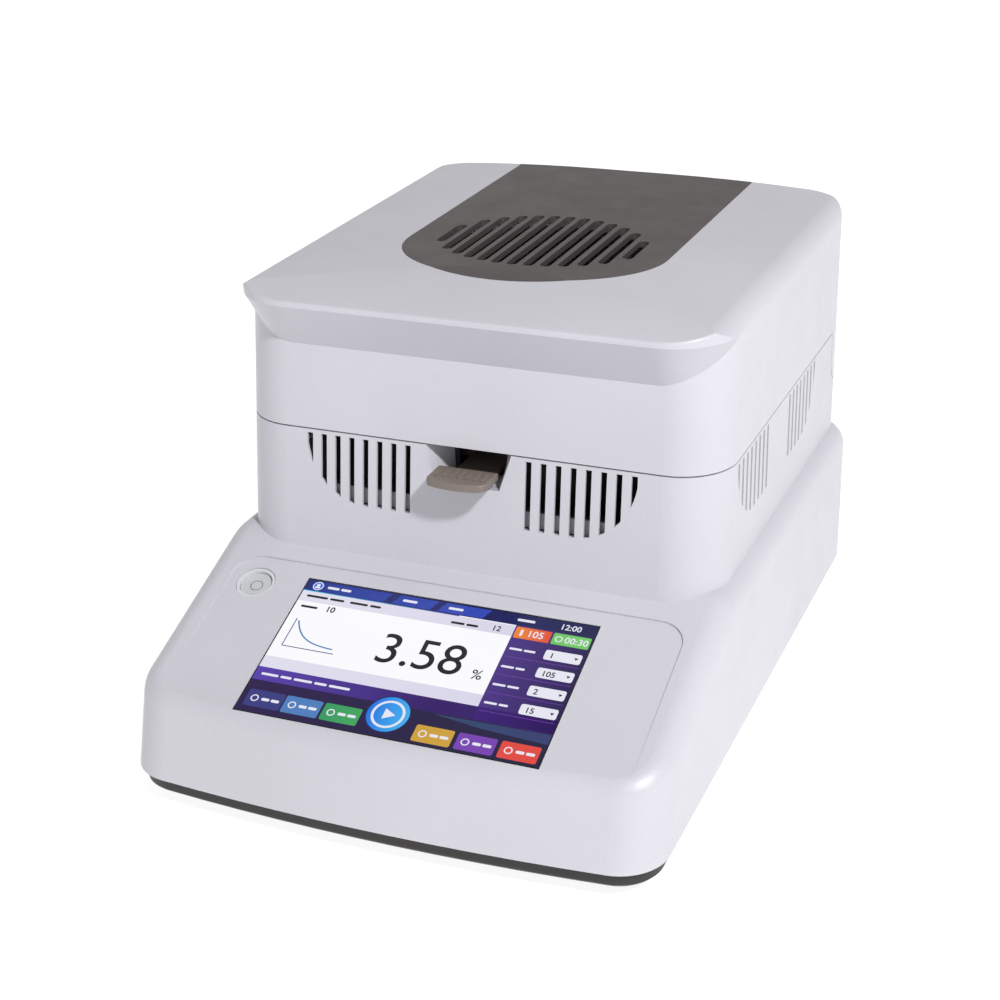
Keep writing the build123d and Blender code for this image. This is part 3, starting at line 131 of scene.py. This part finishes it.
def noise(nodes, links, vector, scale, detail=3.0, roughness=0.55, stretch=(1, 1, 1)):
    """A noise texture over object space, stretched if asked."""
    mapping = nodes.new("ShaderNodeMapping")
    mapping.inputs["Scale"].default_value = stretch
    links.new(vector, mapping.inputs["Vector"])
    node = nodes.new("ShaderNodeTexNoise")
    node.inputs["Scale"].default_value = scale
    node.inputs["Detail"].default_value = detail
    node.inputs["Roughness"].default_value = roughness
    links.new(mapping.outputs["Vector"], node.inputs["Vector"])
    return node.outputs["Fac"]


def spread(nodes, links, value, low, high):
    """Maps the middle of a noise to the range low to high."""
    node = nodes.new("ShaderNodeMapRange")
    node.inputs["From Min"].default_value = NOISE_LOW
    node.inputs["From Max"].default_value = NOISE_HIGH
    node.inputs["To Min"].default_value = low
    node.inputs["To Max"].default_value = high
    links.new(value, node.inputs["Value"])
    return node.outputs["Result"]


def tinted(nodes, links, colour, factor):
    """A colour times a factor that varies over the surface."""
    node = nodes.new("ShaderNodeVectorMath")
    node.operation = "SCALE"
    node.inputs[0].default_value = colour
    links.new(factor, node.inputs["Scale"])
    return node.outputs["Vector"]


def bumped(nodes, links, shader, heights):
    """Chains bumps from (height, strength, distance) triples into the shader's normal."""
    last = None
    for height, strength, distance in heights:
        bump = nodes.new("ShaderNodeBump")
        bump.inputs["Strength"].default_value = strength
        bump.inputs["Distance"].default_value = distance
        links.new(height, bump.inputs["Height"])
        if last is not None:
            links.new(last, bump.inputs["Normal"])
        last = bump.outputs["Normal"]
    links.new(last, shader.inputs["Normal"])


def moulded(name, colour, rough, grain=1500.0, depth=0.00002, vary=0.03, coat=0.0, specular=0.5):
    """Injection moulded plastic: fine spark grain, faint flow marks and slightly uneven gloss."""
    mat, nodes, links, shader = new_material(name)
    place = nodes.new("ShaderNodeTexCoord").outputs["Object"]
    flow = noise(nodes, links, place, FLOW_SCALE, 2.0, 0.5)
    speckle = noise(nodes, links, place, SPECKLE_SCALE, 2.0, 0.6)
    wear = noise(nodes, links, place, WEAR_SCALE, 5.0, 0.65)
    fine = noise(nodes, links, place, grain, 2.0, 0.6)
    shade = nodes.new("ShaderNodeMath")
    shade.operation = "MULTIPLY"
    links.new(spread(nodes, links, flow, 1 - vary, 1 + vary), shade.inputs[0])
    links.new(spread(nodes, links, speckle, 1 - vary * 0.5, 1 + vary * 0.5), shade.inputs[1])
    links.new(tinted(nodes, links, colour, shade.outputs[0]), shader.inputs["Base Color"])
    links.new(spread(nodes, links, wear, rough - 0.04, rough + 0.05), shader.inputs["Roughness"])
    bumped(nodes, links, shader, [(flow, 0.05, 0.0006), (fine, 0.35, depth)])
    shader.inputs["Specular IOR Level"].default_value = specular
    shader.inputs["Coat Weight"].default_value = coat
    shader.inputs["Coat Roughness"].default_value = 0.25
    return mat


def brushed(name, colour, rough, stretch):
    """Brushed or rolled metal with streaks along one direction."""
    mat, nodes, links, shader = new_material(name)
    place = nodes.new("ShaderNodeTexCoord").outputs["Object"]
    streaks = noise(nodes, links, place, STREAK_SCALE, 4.0, 0.7, stretch)
    cloud = noise(nodes, links, place, 30.0, 3.0)
    shade = spread(nodes, links, cloud, 0.93, 1.05)
    links.new(tinted(nodes, links, colour, shade), shader.inputs["Base Color"])
    links.new(spread(nodes, links, streaks, rough - 0.08, rough + 0.1), shader.inputs["Roughness"])
    bumped(nodes, links, shader, [(streaks, 0.25, 0.00002)])
    shader.inputs["Metallic"].default_value = 1.0
    return mat


def spun(name, colour, rough, middle):
    """Turned or spun metal with fine rings about an upright axis."""
    mat, nodes, links, shader = new_material(name)
    place = nodes.new("ShaderNodeTexCoord").outputs["Object"]
    mapping = nodes.new("ShaderNodeMapping")
    mapping.inputs["Location"].default_value = (-middle[0], -middle[1], 0)
    links.new(place, mapping.inputs["Vector"])
    rings = nodes.new("ShaderNodeTexWave")
    rings.wave_type = "RINGS"
    rings.rings_direction = "Z"
    rings.inputs["Scale"].default_value = TURNED_RING_SCALE
    rings.inputs["Distortion"].default_value = 1.2
    rings.inputs["Detail"].default_value = 2.0
    links.new(mapping.outputs["Vector"], rings.inputs["Vector"])
    cloud = noise(nodes, links, place, 35.0, 3.0)
    shade = spread(nodes, links, cloud, 0.94, 1.04)
    links.new(tinted(nodes, links, colour, shade), shader.inputs["Base Color"])
    links.new(spread(nodes, links, cloud, rough - 0.04, rough + 0.06), shader.inputs["Roughness"])
    bumped(nodes, links, shader, [(rings.outputs["Fac"], 0.18, 0.00003)])
    shader.inputs["Metallic"].default_value = 1.0
    return mat


def deck_and_painted_shade():
    """Sheet metal floor of the tower: grey steel with painted shade. Everything up to just above the draft
    shield's foot is painted black, so only the flange behind the slots shows grey.
    """
    mat = brushed("deck_steel_painted_shade", DECK_GREY, 0.5, (1, 30, 30))
    nodes, links = mat.node_tree.nodes, mat.node_tree.links
    shader = next(n for n in nodes if n.type == "BSDF_PRINCIPLED")
    tint = shader.inputs["Base Color"].links[0].from_socket
    split = nodes.new("ShaderNodeSeparateXYZ")
    links.new(nodes.new("ShaderNodeTexCoord").outputs["Object"], split.inputs["Vector"])
    # Painted shade: below this height the deck is black, standing in for the shade inside the tower seen
    # through the slots
    above_painted_shade = nodes.new("ShaderNodeMath")
    above_painted_shade.operation = "GREATER_THAN"
    above_painted_shade.inputs[1].default_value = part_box("draft_shield")[0].z + PAINTED_SHADE_RISE * MM
    links.new(split.outputs["Z"], above_painted_shade.inputs[0])
    mix = nodes.new("ShaderNodeMix")
    mix.data_type = "RGBA"
    mix.inputs["A"].default_value = (*BLACK, 1)
    links.new(above_painted_shade.outputs["Value"], mix.inputs["Factor"])
    links.new(tint, mix.inputs["B"])
    links.new(mix.outputs["Result"], shader.inputs["Base Color"])
    shader.inputs["Metallic"].default_value = 0.0
    return mat


def clear(name, colour):
    """Clear glass with very faint waviness."""
    mat, nodes, links, shader = new_material(name)
    place = nodes.new("ShaderNodeTexCoord").outputs["Object"]
    wave = noise(nodes, links, place, 60.0, 2.0)
    shade = spread(nodes, links, wave, 0.98, 1.0)
    links.new(tinted(nodes, links, colour, shade), shader.inputs["Base Color"])
    links.new(spread(nodes, links, wave, GLASS_ROUGH, GLASS_ROUGH + 0.02), shader.inputs["Roughness"])
    bumped(nodes, links, shader, [(wave, 0.03, 0.0001)])
    shader.inputs["Transmission Weight"].default_value = 1.0
    shader.inputs["IOR"].default_value = GLASS_IOR
    return mat


def linear(*shades):
    """Linear colour from shades of 0 to 255."""
    return tuple(((c / 255 + 0.055) / 1.055) ** 2.4 if c > 10 else c / 255 / 12.92 for c in shades)


def lit_ink(name, left, right=None, start=-60, end=60):
    """One colour of the display page: it glows, shades from left to right and shows fine pixels."""
    mat, nodes, links, shader = new_material(name)
    place = nodes.new("ShaderNodeTexCoord").outputs["Object"]
    split = nodes.new("ShaderNodeSeparateXYZ")
    links.new(place, split.inputs["Vector"])
    along = nodes.new("ShaderNodeMapRange")
    along.inputs["From Min"].default_value = start * MM
    along.inputs["From Max"].default_value = end * MM
    links.new(split.outputs["X"], along.inputs["Value"])
    mix = nodes.new("ShaderNodeMix")
    mix.data_type = "RGBA"
    links.new(along.outputs["Result"], mix.inputs["Factor"])
    mix.inputs["A"].default_value = (*linear(*left), 1)
    mix.inputs["B"].default_value = (*linear(*(right or left)), 1)
    pixels = nodes.new("ShaderNodeTexChecker")
    pixels.inputs["Scale"].default_value = PIXEL_SCALE
    pixels.inputs["Color1"].default_value = (1, 1, 1, 1)
    pixels.inputs["Color2"].default_value = (PIXEL_DIM, PIXEL_DIM, PIXEL_DIM, 1)
    links.new(place, pixels.inputs["Vector"])
    shown = nodes.new("ShaderNodeMix")
    shown.data_type = "RGBA"
    shown.blend_type = "MULTIPLY"
    shown.inputs["Factor"].default_value = 1.0
    links.new(mix.outputs["Result"], shown.inputs["A"])
    links.new(pixels.outputs["Color"], shown.inputs["B"])
    links.new(shown.outputs["Result"], shader.inputs["Emission Color"])
    smear = noise(nodes, links, place, 120.0, 4.0)
    links.new(spread(nodes, links, smear, 0.10, 0.17), shader.inputs["Roughness"])
    shader.inputs["Base Color"].default_value = (0.01, 0.01, 0.012, 1)
    shader.inputs["Emission Strength"].default_value = 1.0
    shader.inputs["Specular IOR Level"].default_value = 0.3
    return mat


def paint(mat, *names):
    """Gives CAD nodes a finish."""
    for name in names:
        mesh = NODES[name].data
        mesh.materials.clear()
        mesh.materials.append(mat)


def nodes_named(start):
    """Names of the CAD nodes that begin with a word."""
    return [name for name in NODES if name.startswith(start)]


def finish_cad_nodes():
    """Procedural finishes for every CAD node."""
    pan_low, pan_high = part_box("sample_pan")
    middle = ((pan_low.x + pan_high.x) / 2, (pan_low.y + pan_high.y) / 2)
    paint(moulded("white_plastic", WHITE, 0.38, coat=0.08), "main_housing", "lid_cover")
    paint(moulded("grille_plastic", GRILLE, 0.42, vary=0.05), "lid_grille")
    paint(moulded("tray_plastic", TRAY, 0.5, grain=900.0, depth=0.00004, vary=0.08), "bottom_tray")
    paint(moulded("handler_plastic", HANDLER, 0.42, vary=0.05), "pan_handler")
    paint(moulded("level_plastic", (0.62, 0.63, 0.66), 0.3), "level_cup")
    paint(moulded("black_plastic", BLACK, 0.42, vary=0.1), "display_module", "fan_frame", "fan_rotor",
          "power_inlet", "switch_body", "switch_rocker", "fuse_drawer")
    paint(moulded("wheel_plastic", BLACK, 0.5, vary=0.1), *nodes_named("foot_wheel"))
    rubber = moulded("foot_rubber", (0.022, 0.021, 0.020), 0.8, grain=600.0, depth=0.00006)
    paint(rubber, *nodes_named("foot_pad"))
    paint(moulded("black_paint", (0.02, 0.02, 0.021), 0.55, grain=1100.0, depth=0.00005), "chamber_wall")
    paint(moulded("board_lacquer", BOARD, 0.3, vary=0.12), "main_board", "power_supply")
    paint(moulded("ceramic", (0.78, 0.76, 0.70), 0.75, grain=700.0), "lamp_socket")
    # The tower's floor carries painted shade: black below its grey flange
    paint(deck_and_painted_shade(), "chamber_deck")
    paint(brushed("shield_sheet", (0.42, 0.42, 0.43), 0.38, (1, 30, 30)), "heat_shield")
    paint(brushed("bright_steel", STEEL, 0.28, (1, 1, 20)), "hinge_shaft", "hinge_brackets", "fan_guard",
          "serial_port", "usb_port", "lamp_clips", "temp_sensor", "tray_screws", "lid_screws", "fan_screws",
          "cell_screws")
    paint(brushed("cell_aluminium", ALUMINIUM, 0.35, (1, 25, 25)), "weighing_cell", "cell_mount")
    paint(spun("pan_aluminium", ALUMINIUM, 0.24, middle), "sample_pan", "reflector")
    paint(spun("shield_steel", STEEL, 0.25, middle), "draft_shield", "pan_support", "glass_ring")
    paint(clear("lamp_glass_clear", (0.93, 0.96, 0.95)), "lamp_glass", "halogen_lamp", "fuses")
    polish = {"grain": 2500.0, "depth": 0.000002}
    paint(moulded("level_liquid", (0.52, 0.54, 0.55), 0.12, coat=0.6, **polish), "level_vial")
    paint(moulded("lens_black", (0.006, 0.006, 0.009), 0.08, vary=0.2, **polish), "display_lens")


def face_frame(node):
    """Middle, right, up-slope and outward directions of a node's highest sloped face."""
    mesh = NODES[node].data
    out = max((p for p in mesh.polygons if p.normal.z > SLOPED_NORMAL), key=lambda p: p.area).normal.copy()
    right = Vector((1, 0, 0))
    up = out.cross(right).normalized()
    points = [v.co for v in mesh.vertices]
    top = max(p.dot(out) for p in points)
    face = [p for p in points if p.dot(out) > top - FACE_TOLERANCE * MM]
    centre = right * (min(p.x for p in face) + max(p.x for p in face)) / 2
    centre += up * (min(p.dot(up) for p in face) + max(p.dot(up) for p in face)) / 2
    return centre + out * top, right, up, out


def rounded(u0, v0, u1, v1, radius=0.0, lean=0.0):
    """Outline of a box with rounded corners. Its top leans to the right by lean."""
    if radius <= 0:
        return [(u0, v0), (u1, v0), (u1 + lean, v1), (u0 + lean, v1)]
    points = []
    for cu, cv, start in ((u1 - radius, v0 + radius, -90), (u1 - radius, v1 - radius, 0),
                          (u0 + radius, v1 - radius, 90), (u0 + radius, v0 + radius, 180)):
        for k in range(CORNER_STEPS + 1):
            a = math.radians(start + 90 * k / CORNER_STEPS)
            points.append((cu + radius * math.cos(a), cv + radius * math.sin(a)))
    return points


def circle(u, v, radius):
    """Outline of a disc."""
    turns = [2 * math.pi * k / CIRCLE_STEPS for k in range(CIRCLE_STEPS)]
    return [(u + radius * math.cos(a), v + radius * math.sin(a)) for a in turns]


def band(points, width):
    """Outline of a thin band along a polyline."""
    upper, lower = [], []
    for k, (u, v) in enumerate(points):
        before = points[max(k - 1, 0)]
        after = points[min(k + 1, len(points) - 1)]
        run = math.hypot(after[0] - before[0], after[1] - before[1])
        nu, nv = -(after[1] - before[1]) / run, (after[0] - before[0]) / run
        upper.append((u + nu * width / 2, v + nv * width / 2))
        lower.append((u - nu * width / 2, v - nv * width / 2))
    return lower + upper[::-1]


class Page:
    """Flat shapes on the display, gathered by ink and made into one mesh for each."""

    def __init__(self, node):
        self.origin, self.right, self.up, self.out = face_frame(node)
        self.shapes = {}

    def put(self, ink, layer, *outlines):
        self.shapes.setdefault(ink, []).extend((layer, outline) for outline in outlines)

    def point(self, u, v, layer):
        return self.origin + (self.right * u + self.up * v + self.out * layer * LAYER) * MM

    def make(self, inks):
        for ink, shapes in self.shapes.items():
            mesh = bmesh.new()
            for layer, outline in shapes:
                face = mesh.faces.new([mesh.verts.new(self.point(u, v, layer)) for u, v in outline])
                face.normal_update()
                if face.normal.dot(self.out) < 0:
                    face.normal_flip()
                sides = bmesh.ops.extrude_face_region(mesh, geom=[face])["geom"]
                lifted = [g for g in sides if isinstance(g, bmesh.types.BMVert)]
                bmesh.ops.translate(mesh, verts=lifted, vec=self.out * LAYER * MM)
            bmesh.ops.recalc_face_normals(mesh, faces=mesh.faces)
            make_piece(f"page_{ink}", mesh, inks[ink], "base")


def make_piece(name, mesh, mat, body):
    """A mesh piece that rides on a body."""
    data = bpy.data.meshes.new(name)
    mesh.to_mesh(data)
    mesh.free()
    data.materials.append(mat)
    for polygon in data.polygons:
        polygon.use_smooth = False
    piece = bpy.data.objects.new(name, data)
    bpy.context.scene.collection.objects.link(piece)
    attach(piece, body)


def digits(name, page, text, u, v, height, mat, bold):
    """Plain numbers on the page, as thin raised figures."""
    curve = bpy.data.curves.new(name, "FONT")
    curve.body = text
    curve.size = height * MM / DIGIT_SHARE
    curve.extrude = LAYER * MM / 2
    curve.offset = bold * MM
    curve.resolution_u = 6
    maker = bpy.data.objects.new(name + "_curve", curve)
    bpy.context.scene.collection.objects.link(maker)
    bpy.context.view_layer.update()
    data = bpy.data.meshes.new_from_object(maker.evaluated_get(bpy.context.evaluated_depsgraph_get()))
    bpy.data.objects.remove(maker)
    turn = Matrix((page.right, page.up, page.out)).transposed().to_4x4()
    turn.translation = page.point(u, v, DIGIT_LAYER + 0.5)
    data.transform(turn)
    data.materials.clear()
    data.materials.append(mat)
    piece = bpy.data.objects.new(name, data)
    bpy.context.scene.collection.objects.link(piece)
    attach(piece, "base")


def page_inks():
    """The display's colours, each as a glowing ink. Shades of 0 to 255, at the left and the right."""
    shades = {
        "paper": ((252, 252, 255),),
        "mist": ((226, 224, 238), (216, 212, 234)),
        "navy": ((24, 38, 116), (14, 14, 74)),
        "blue": ((26, 48, 140), (46, 70, 178), -60, 10),
        "cyan": ((60, 190, 235), (60, 30, 150), -58, 5),
        "violet": ((84, 58, 170), (46, 6, 100), -60, 10),
        "indigo": ((72, 44, 132), (30, 12, 74), 28, 60),
        "dusk": ((34, 8, 70), (22, 18, 58)),
        "black": ((18, 18, 22),),
        "white": ((232, 232, 244),),
        "slate": ((52, 54, 126),),
        "steel": ((74, 124, 188),),
        "green": ((38, 150, 92), (112, 200, 96), -30, 50),
        "start": ((20, 110, 225), (60, 175, 240), -10, 6),
        "amber": ((206, 160, 52),),
        "purple": ((118, 62, 176),),
        "red": ((226, 70, 58),),
        "orange": ((240, 132, 40), (222, 72, 44), 30, 44),
        "teal": ((40, 66, 104), (48, 58, 110), 16, 60),
    }
    return {name: lit_ink(f"ink_{name}", *values) for name, values in shades.items()}


def header(page):
    """Dark bar along the top with slanted fields, a round mark and bars in place of words."""
    page.put("navy", 1, rounded(-PAGE_HALF_U, HEADER_LOW, PAGE_HALF_U, PAGE_HALF_V))
    for u0, u1 in ((-57.5, -26), (-22.5, -6.5), (-3.5, 15)):
        page.put("blue", 2, rounded(u0, HEADER_LOW + 0.4, u1, PAGE_HALF_V - 0.5, lean=2.4))
    page.put("white", 3, circle(*MARK, 2.2))
    page.put("start", 4, circle(*MARK, 1.75))
    page.put("white", 5, circle(-54.6, 31.5, 0.75), rounded(-55.7, 29.9, -53.5, 30.8, 0.4))
    for u0, u1 in ((-50.5, -45.5), (-44.7, -40.5), (-18.5, -12.5), (0.5, 6.5), (28.5, 35.5)):
        page.put("white", 3, rounded(u0, 30.5, u1, 31.7, 0.5))
    page.put("cyan", 2, rounded(-PAGE_HALF_U, HEADER_LOW - 0.4, 6, HEADER_LOW))


def readout(page):
    """White field with pale bands, a small drying curve and bars in place of words."""
    page.put("paper", 1, rounded(-PAGE_HALF_U, STRIP_TOP, COLUMN_LEFT, HEADER_LOW))
    page.put("mist", 2, rounded(-PAGE_HALF_U, 22.6, COLUMN_LEFT, HEADER_LOW - 0.4))
    page.put("mist", 2, rounded(-PAGE_HALF_U, STRIP_TOP, COLUMN_LEFT, -6.8))
    words = ((-57, -48, 25.0), (-47, -41, 25.0), (-38.5, -31, 25.0), (-30, -25.5, 25.0),
             (4, 9.5, 23.9), (10.3, 15, 23.9), (-57, -50, 19.4))
    for u0, u1, v in words:
        page.put("black", 3, rounded(u0, v, u1, v + 1.1, 0.45))
    curve = [(-54.5 + 1.6 * k, 12.5 - 11.5 * (1 - math.exp(-k / 3.2))) for k in range(13)]
    page.put("steel", 3, band(curve, 0.6))
    page.put("slate", 3, band([(-55.6, 13.5), (-55.6, -0.8)], 0.4), band([(-55.6, -0.8), (-34, -0.8)], 0.4))


def column(page):
    """Dark column at the right with two coloured tiles and four fields."""
    page.put("indigo", 1, rounded(COLUMN_LEFT, STRIP_TOP - 6.0, PAGE_HALF_U, HEADER_LOW))
    page.put("orange", 2, rounded(COLUMN_LEFT + 0.6, 22.2, 43.6, HEADER_LOW - 0.5, 0.5))
    page.put("green", 2, rounded(44.4, 22.2, PAGE_HALF_U - 0.6, HEADER_LOW - 0.5, 0.5))
    page.put("white", 3, rounded(31.6, 23.4, 32.7, 26.7, 0.5), circle(46.9, 25.0, 1.5))
    page.put("green", 4, circle(46.9, 25.0, 1.05))
    for row in range(ROWS):
        v = ROW_TOP - ROW_STEP * row
        page.put("white", 2, rounded(30.4, v + 1.3, 35.4, v + 2.3, 0.4))
        page.put("white", 2, rounded(36.1, v + 1.3, 40.6 - row % 2, v + 2.3, 0.4))
        page.put("white", 2, rounded(44.2, v - 0.6, 58.4, v + 4.2, 0.9))
        page.put("black", 3, [(55.6, v + 2.4), (57.2, v + 2.4), (56.4, v + 1.2)])
        page.put("purple", 2, rounded(COLUMN_LEFT + 1, v - 2.3, PAGE_HALF_U - 1, v - 2.1))


def buttons(page):
    """Message strip and the row of keys with the round start key in the middle."""
    page.put("violet", 1, rounded(-PAGE_HALF_U, STRIP_LOW, PAGE_HALF_U, STRIP_TOP))
    for u0, u1 in ((-57.0, -50.0), (-49.0, -44.5), (-43.5, -36.0), (-35.0, -30.0), (-29.0, -20.5)):
        page.put("white", 2, rounded(u0, -16.2, u1, -15.1, 0.45))
    page.put("dusk", 1, rounded(-PAGE_HALF_U, -PAGE_HALF_V, PAGE_HALF_U, STRIP_LOW))
    sweep = [(14, STRIP_LOW - 0.5), (34, -22.0), (PAGE_HALF_U, -23.5), (PAGE_HALF_U, STRIP_LOW - 0.2)]
    page.put("teal", 2, sweep)
    keys = (("slate", -57.6), ("steel", -42.2), ("green", -26.4),
            ("amber", 10.6), ("purple", 27.0), ("red", 43.4))
    for number, (ink, u) in enumerate(keys):
        v0, v1 = -32.8, -25.2
        if number < 3:
            v0, v1 = -31.4, -23.4
        page.put(ink, 3, rounded(u, v0, u + KEY_WIDTH, v1, 0.8))
        middle = (v0 + v1) / 2
        page.put("white", 4, rounded(u + 6.2, middle - 0.65, u + 9.4, middle + 0.65, 0.5))
        page.put("white", 4, rounded(u + 10.1, middle - 0.65, u + 13.4, middle + 0.65, 0.5))
        page.put("white", 4, circle(u + 3.4, middle, 1.6))
        page.put(ink, 5, circle(u + 3.4, middle, 1.1))
    page.put("navy", 3, circle(*START_KEY, 8.6))
    page.put("start", 4, circle(*START_KEY, 8.1))
    page.put("white", 5, circle(*START_KEY, 6.4))
    page.put("start", 6, circle(*START_KEY, 5.4))
    page.put("white", 7, [(-3.5, -25.9), (1.1, -23.4), (-3.5, -20.9)])


def display_page():
    """The whole page on the cover lens, with plain numbers as its readings."""
    page = Page("display_lens")
    inks = page_inks()
    half_u, half_v = PAGE_HALF_U + EDGE, PAGE_HALF_V + EDGE
    page.put("black", 0, rounded(-half_u, -half_v, half_u, half_v))
    header(page)
    readout(page)
    column(page)
    buttons(page)
    page.make(inks)
    numbers = (
        ("reading", "3.58", -19.0, -0.4, 15.0, "black", 0.0),
        ("percent", "%", 21.0, -0.4, 4.6, "black", 0.04),
        ("count", "12", 20.4, 23.9, 2.6, "black", 0.06),
        ("load", "10", -46.5, 19.0, 2.8, "black", 0.10),
        ("clock", "12:00", 45.5, 29.9, 2.7, "white", 0.06),
        ("heat", "105", 34.4, 23.6, 3.2, "white", 0.06),
        ("timer", "00:30", 49.2, 23.6, 3.0, "white", 0.06),
        ("setting_1", "1", 46.2, 15.4, 2.6, "black", 0.06),
        ("setting_2", "105", 46.2, 6.5, 2.6, "black", 0.06),
        ("setting_3", "2", 46.2, -2.4, 2.6, "black", 0.06),
        ("setting_4", "15", 46.2, -11.3, 2.6, "black", 0.06),
    )
    for name, text, u, v, height, ink, bold in numbers:
        digits(f"page_{name}", page, text, u, v, height, inks[ink], bold)


def level_marks():
    """Centre ring of the round level."""
    centre, right, up, out = face_frame("level_vial")
    ring = bmesh.new()
    steps = LEVEL_RING_STEPS
    turns = [2 * math.pi * k / steps for k in range(steps)]
    loops = []
    for radius in LEVEL_RING_RADII:
        spokes = [(right * math.cos(a) + up * math.sin(a)) * (radius * MM) for a in turns]
        loops.append([ring.verts.new(centre + out * (LEVEL_RING_LIFT * MM) + spoke) for spoke in spokes])
    faces = [ring.faces.new((loops[0][k], loops[1][k], loops[1][(k + 1) % steps], loops[0][(k + 1) % steps]))
             for k in range(steps)]
    bmesh.ops.solidify(ring, geom=faces, thickness=LEVEL_RING_THICK * MM)
    bmesh.ops.recalc_face_normals(ring, faces=ring.faces)
    ink = moulded("level_ink", (0.05, 0.05, 0.05), 0.4)
    make_piece("level_ring", ring, ink, "base")


def world_light():
    """Pale surroundings that light the object softly from everywhere."""
    world = bpy.data.worlds.new("studio")
    bpy.context.scene.world = world
    world.use_nodes = True
    nodes, links = world.node_tree.nodes, world.node_tree.links
    back = nodes["Background"]
    split = nodes.new("ShaderNodeSeparateXYZ")
    links.new(nodes.new("ShaderNodeTexCoord").outputs["Generated"], split.inputs["Vector"])
    rise = nodes.new("ShaderNodeMapRange")
    rise.inputs["From Min"].default_value = HORIZON_END
    rise.inputs["From Max"].default_value = SKY_START
    rise.inputs["To Min"].default_value = HORIZON_LIGHT
    rise.inputs["To Max"].default_value = SKY_LIGHT
    links.new(split.outputs["Z"], rise.inputs["Value"])
    links.new(rise.outputs["Result"], back.inputs["Strength"])
    back.inputs["Color"].default_value = (1.0, 1.0, 1.0, 1)


def area_light(name, place, target, size, power):
    """A square soft light aimed at a point."""
    data = bpy.data.lights.new(name, "AREA")
    data.shape = "SQUARE"
    data.size = size
    data.energy = power
    lamp = bpy.data.objects.new(name, data)
    lamp.location = place
    lamp.rotation_mode = "QUATERNION"
    lamp.rotation_quaternion = (Vector(target) - Vector(place)).to_track_quat("-Z", "Y")
    bpy.context.scene.collection.objects.link(lamp)


def studio():
    """Pale floor and the key light."""
    floor = bmesh.new()
    half = FLOOR_HALF
    corners = ((-half, -half), (half, -half), (half, half), (-half, half))
    floor.faces.new([floor.verts.new((x, y, 0)) for x, y in corners])
    data = bpy.data.meshes.new("floor")
    floor.to_mesh(data)
    floor.free()
    piece = bpy.data.objects.new("floor", data)
    bpy.context.scene.collection.objects.link(piece)
    paper = moulded("floor_paper", (0.30, 0.30, 0.30), 0.85, grain=400.0, vary=0.004, specular=0.0)
    shader = next(n for n in paper.node_tree.nodes if n.type == "BSDF_PRINCIPLED")
    shader.inputs["Emission Color"].default_value = (1, 1, 1, 1)
    shader.inputs["Emission Strength"].default_value = FLOOR_GLOW
    data.materials.append(paper)
    place = KEY_AIM + Vector(KEY_FROM).normalized() * KEY_DISTANCE
    area_light("key", place, KEY_AIM, KEY_SIZE, KEY_POWER)


def camera():
    """Camera at the photo's viewpoint, with its slight roll."""
    azimuth, elevation, roll = (math.radians(a) for a in (CAMERA_AZIMUTH, CAMERA_ELEVATION, CAMERA_ROLL))
    ahead = Vector((
        -math.sin(azimuth) * math.cos(elevation),
        math.cos(azimuth) * math.cos(elevation),
        -math.sin(elevation),
    ))
    right = ahead.cross(Vector((0, 0, 1))).normalized()
    up = right.cross(ahead)
    rolled_right = right * math.cos(roll) + up * math.sin(roll)
    rolled_up = -right * math.sin(roll) + up * math.cos(roll)
    data = bpy.data.cameras.new("camera")
    data.lens = CAMERA_LENS
    data.sensor_width = SENSOR
    eye = bpy.data.objects.new("camera", data)
    turn = Matrix((rolled_right, rolled_up, -ahead)).transposed().to_4x4()
    eye.matrix_world = Matrix.Translation(CAMERA_AT) @ turn
    bpy.context.scene.collection.objects.link(eye)
    bpy.context.scene.camera = eye


bpy.context.scene.view_settings.view_transform = "Standard"
finish_cad_nodes()
display_page()
level_marks()
world_light()
studio()
camera()
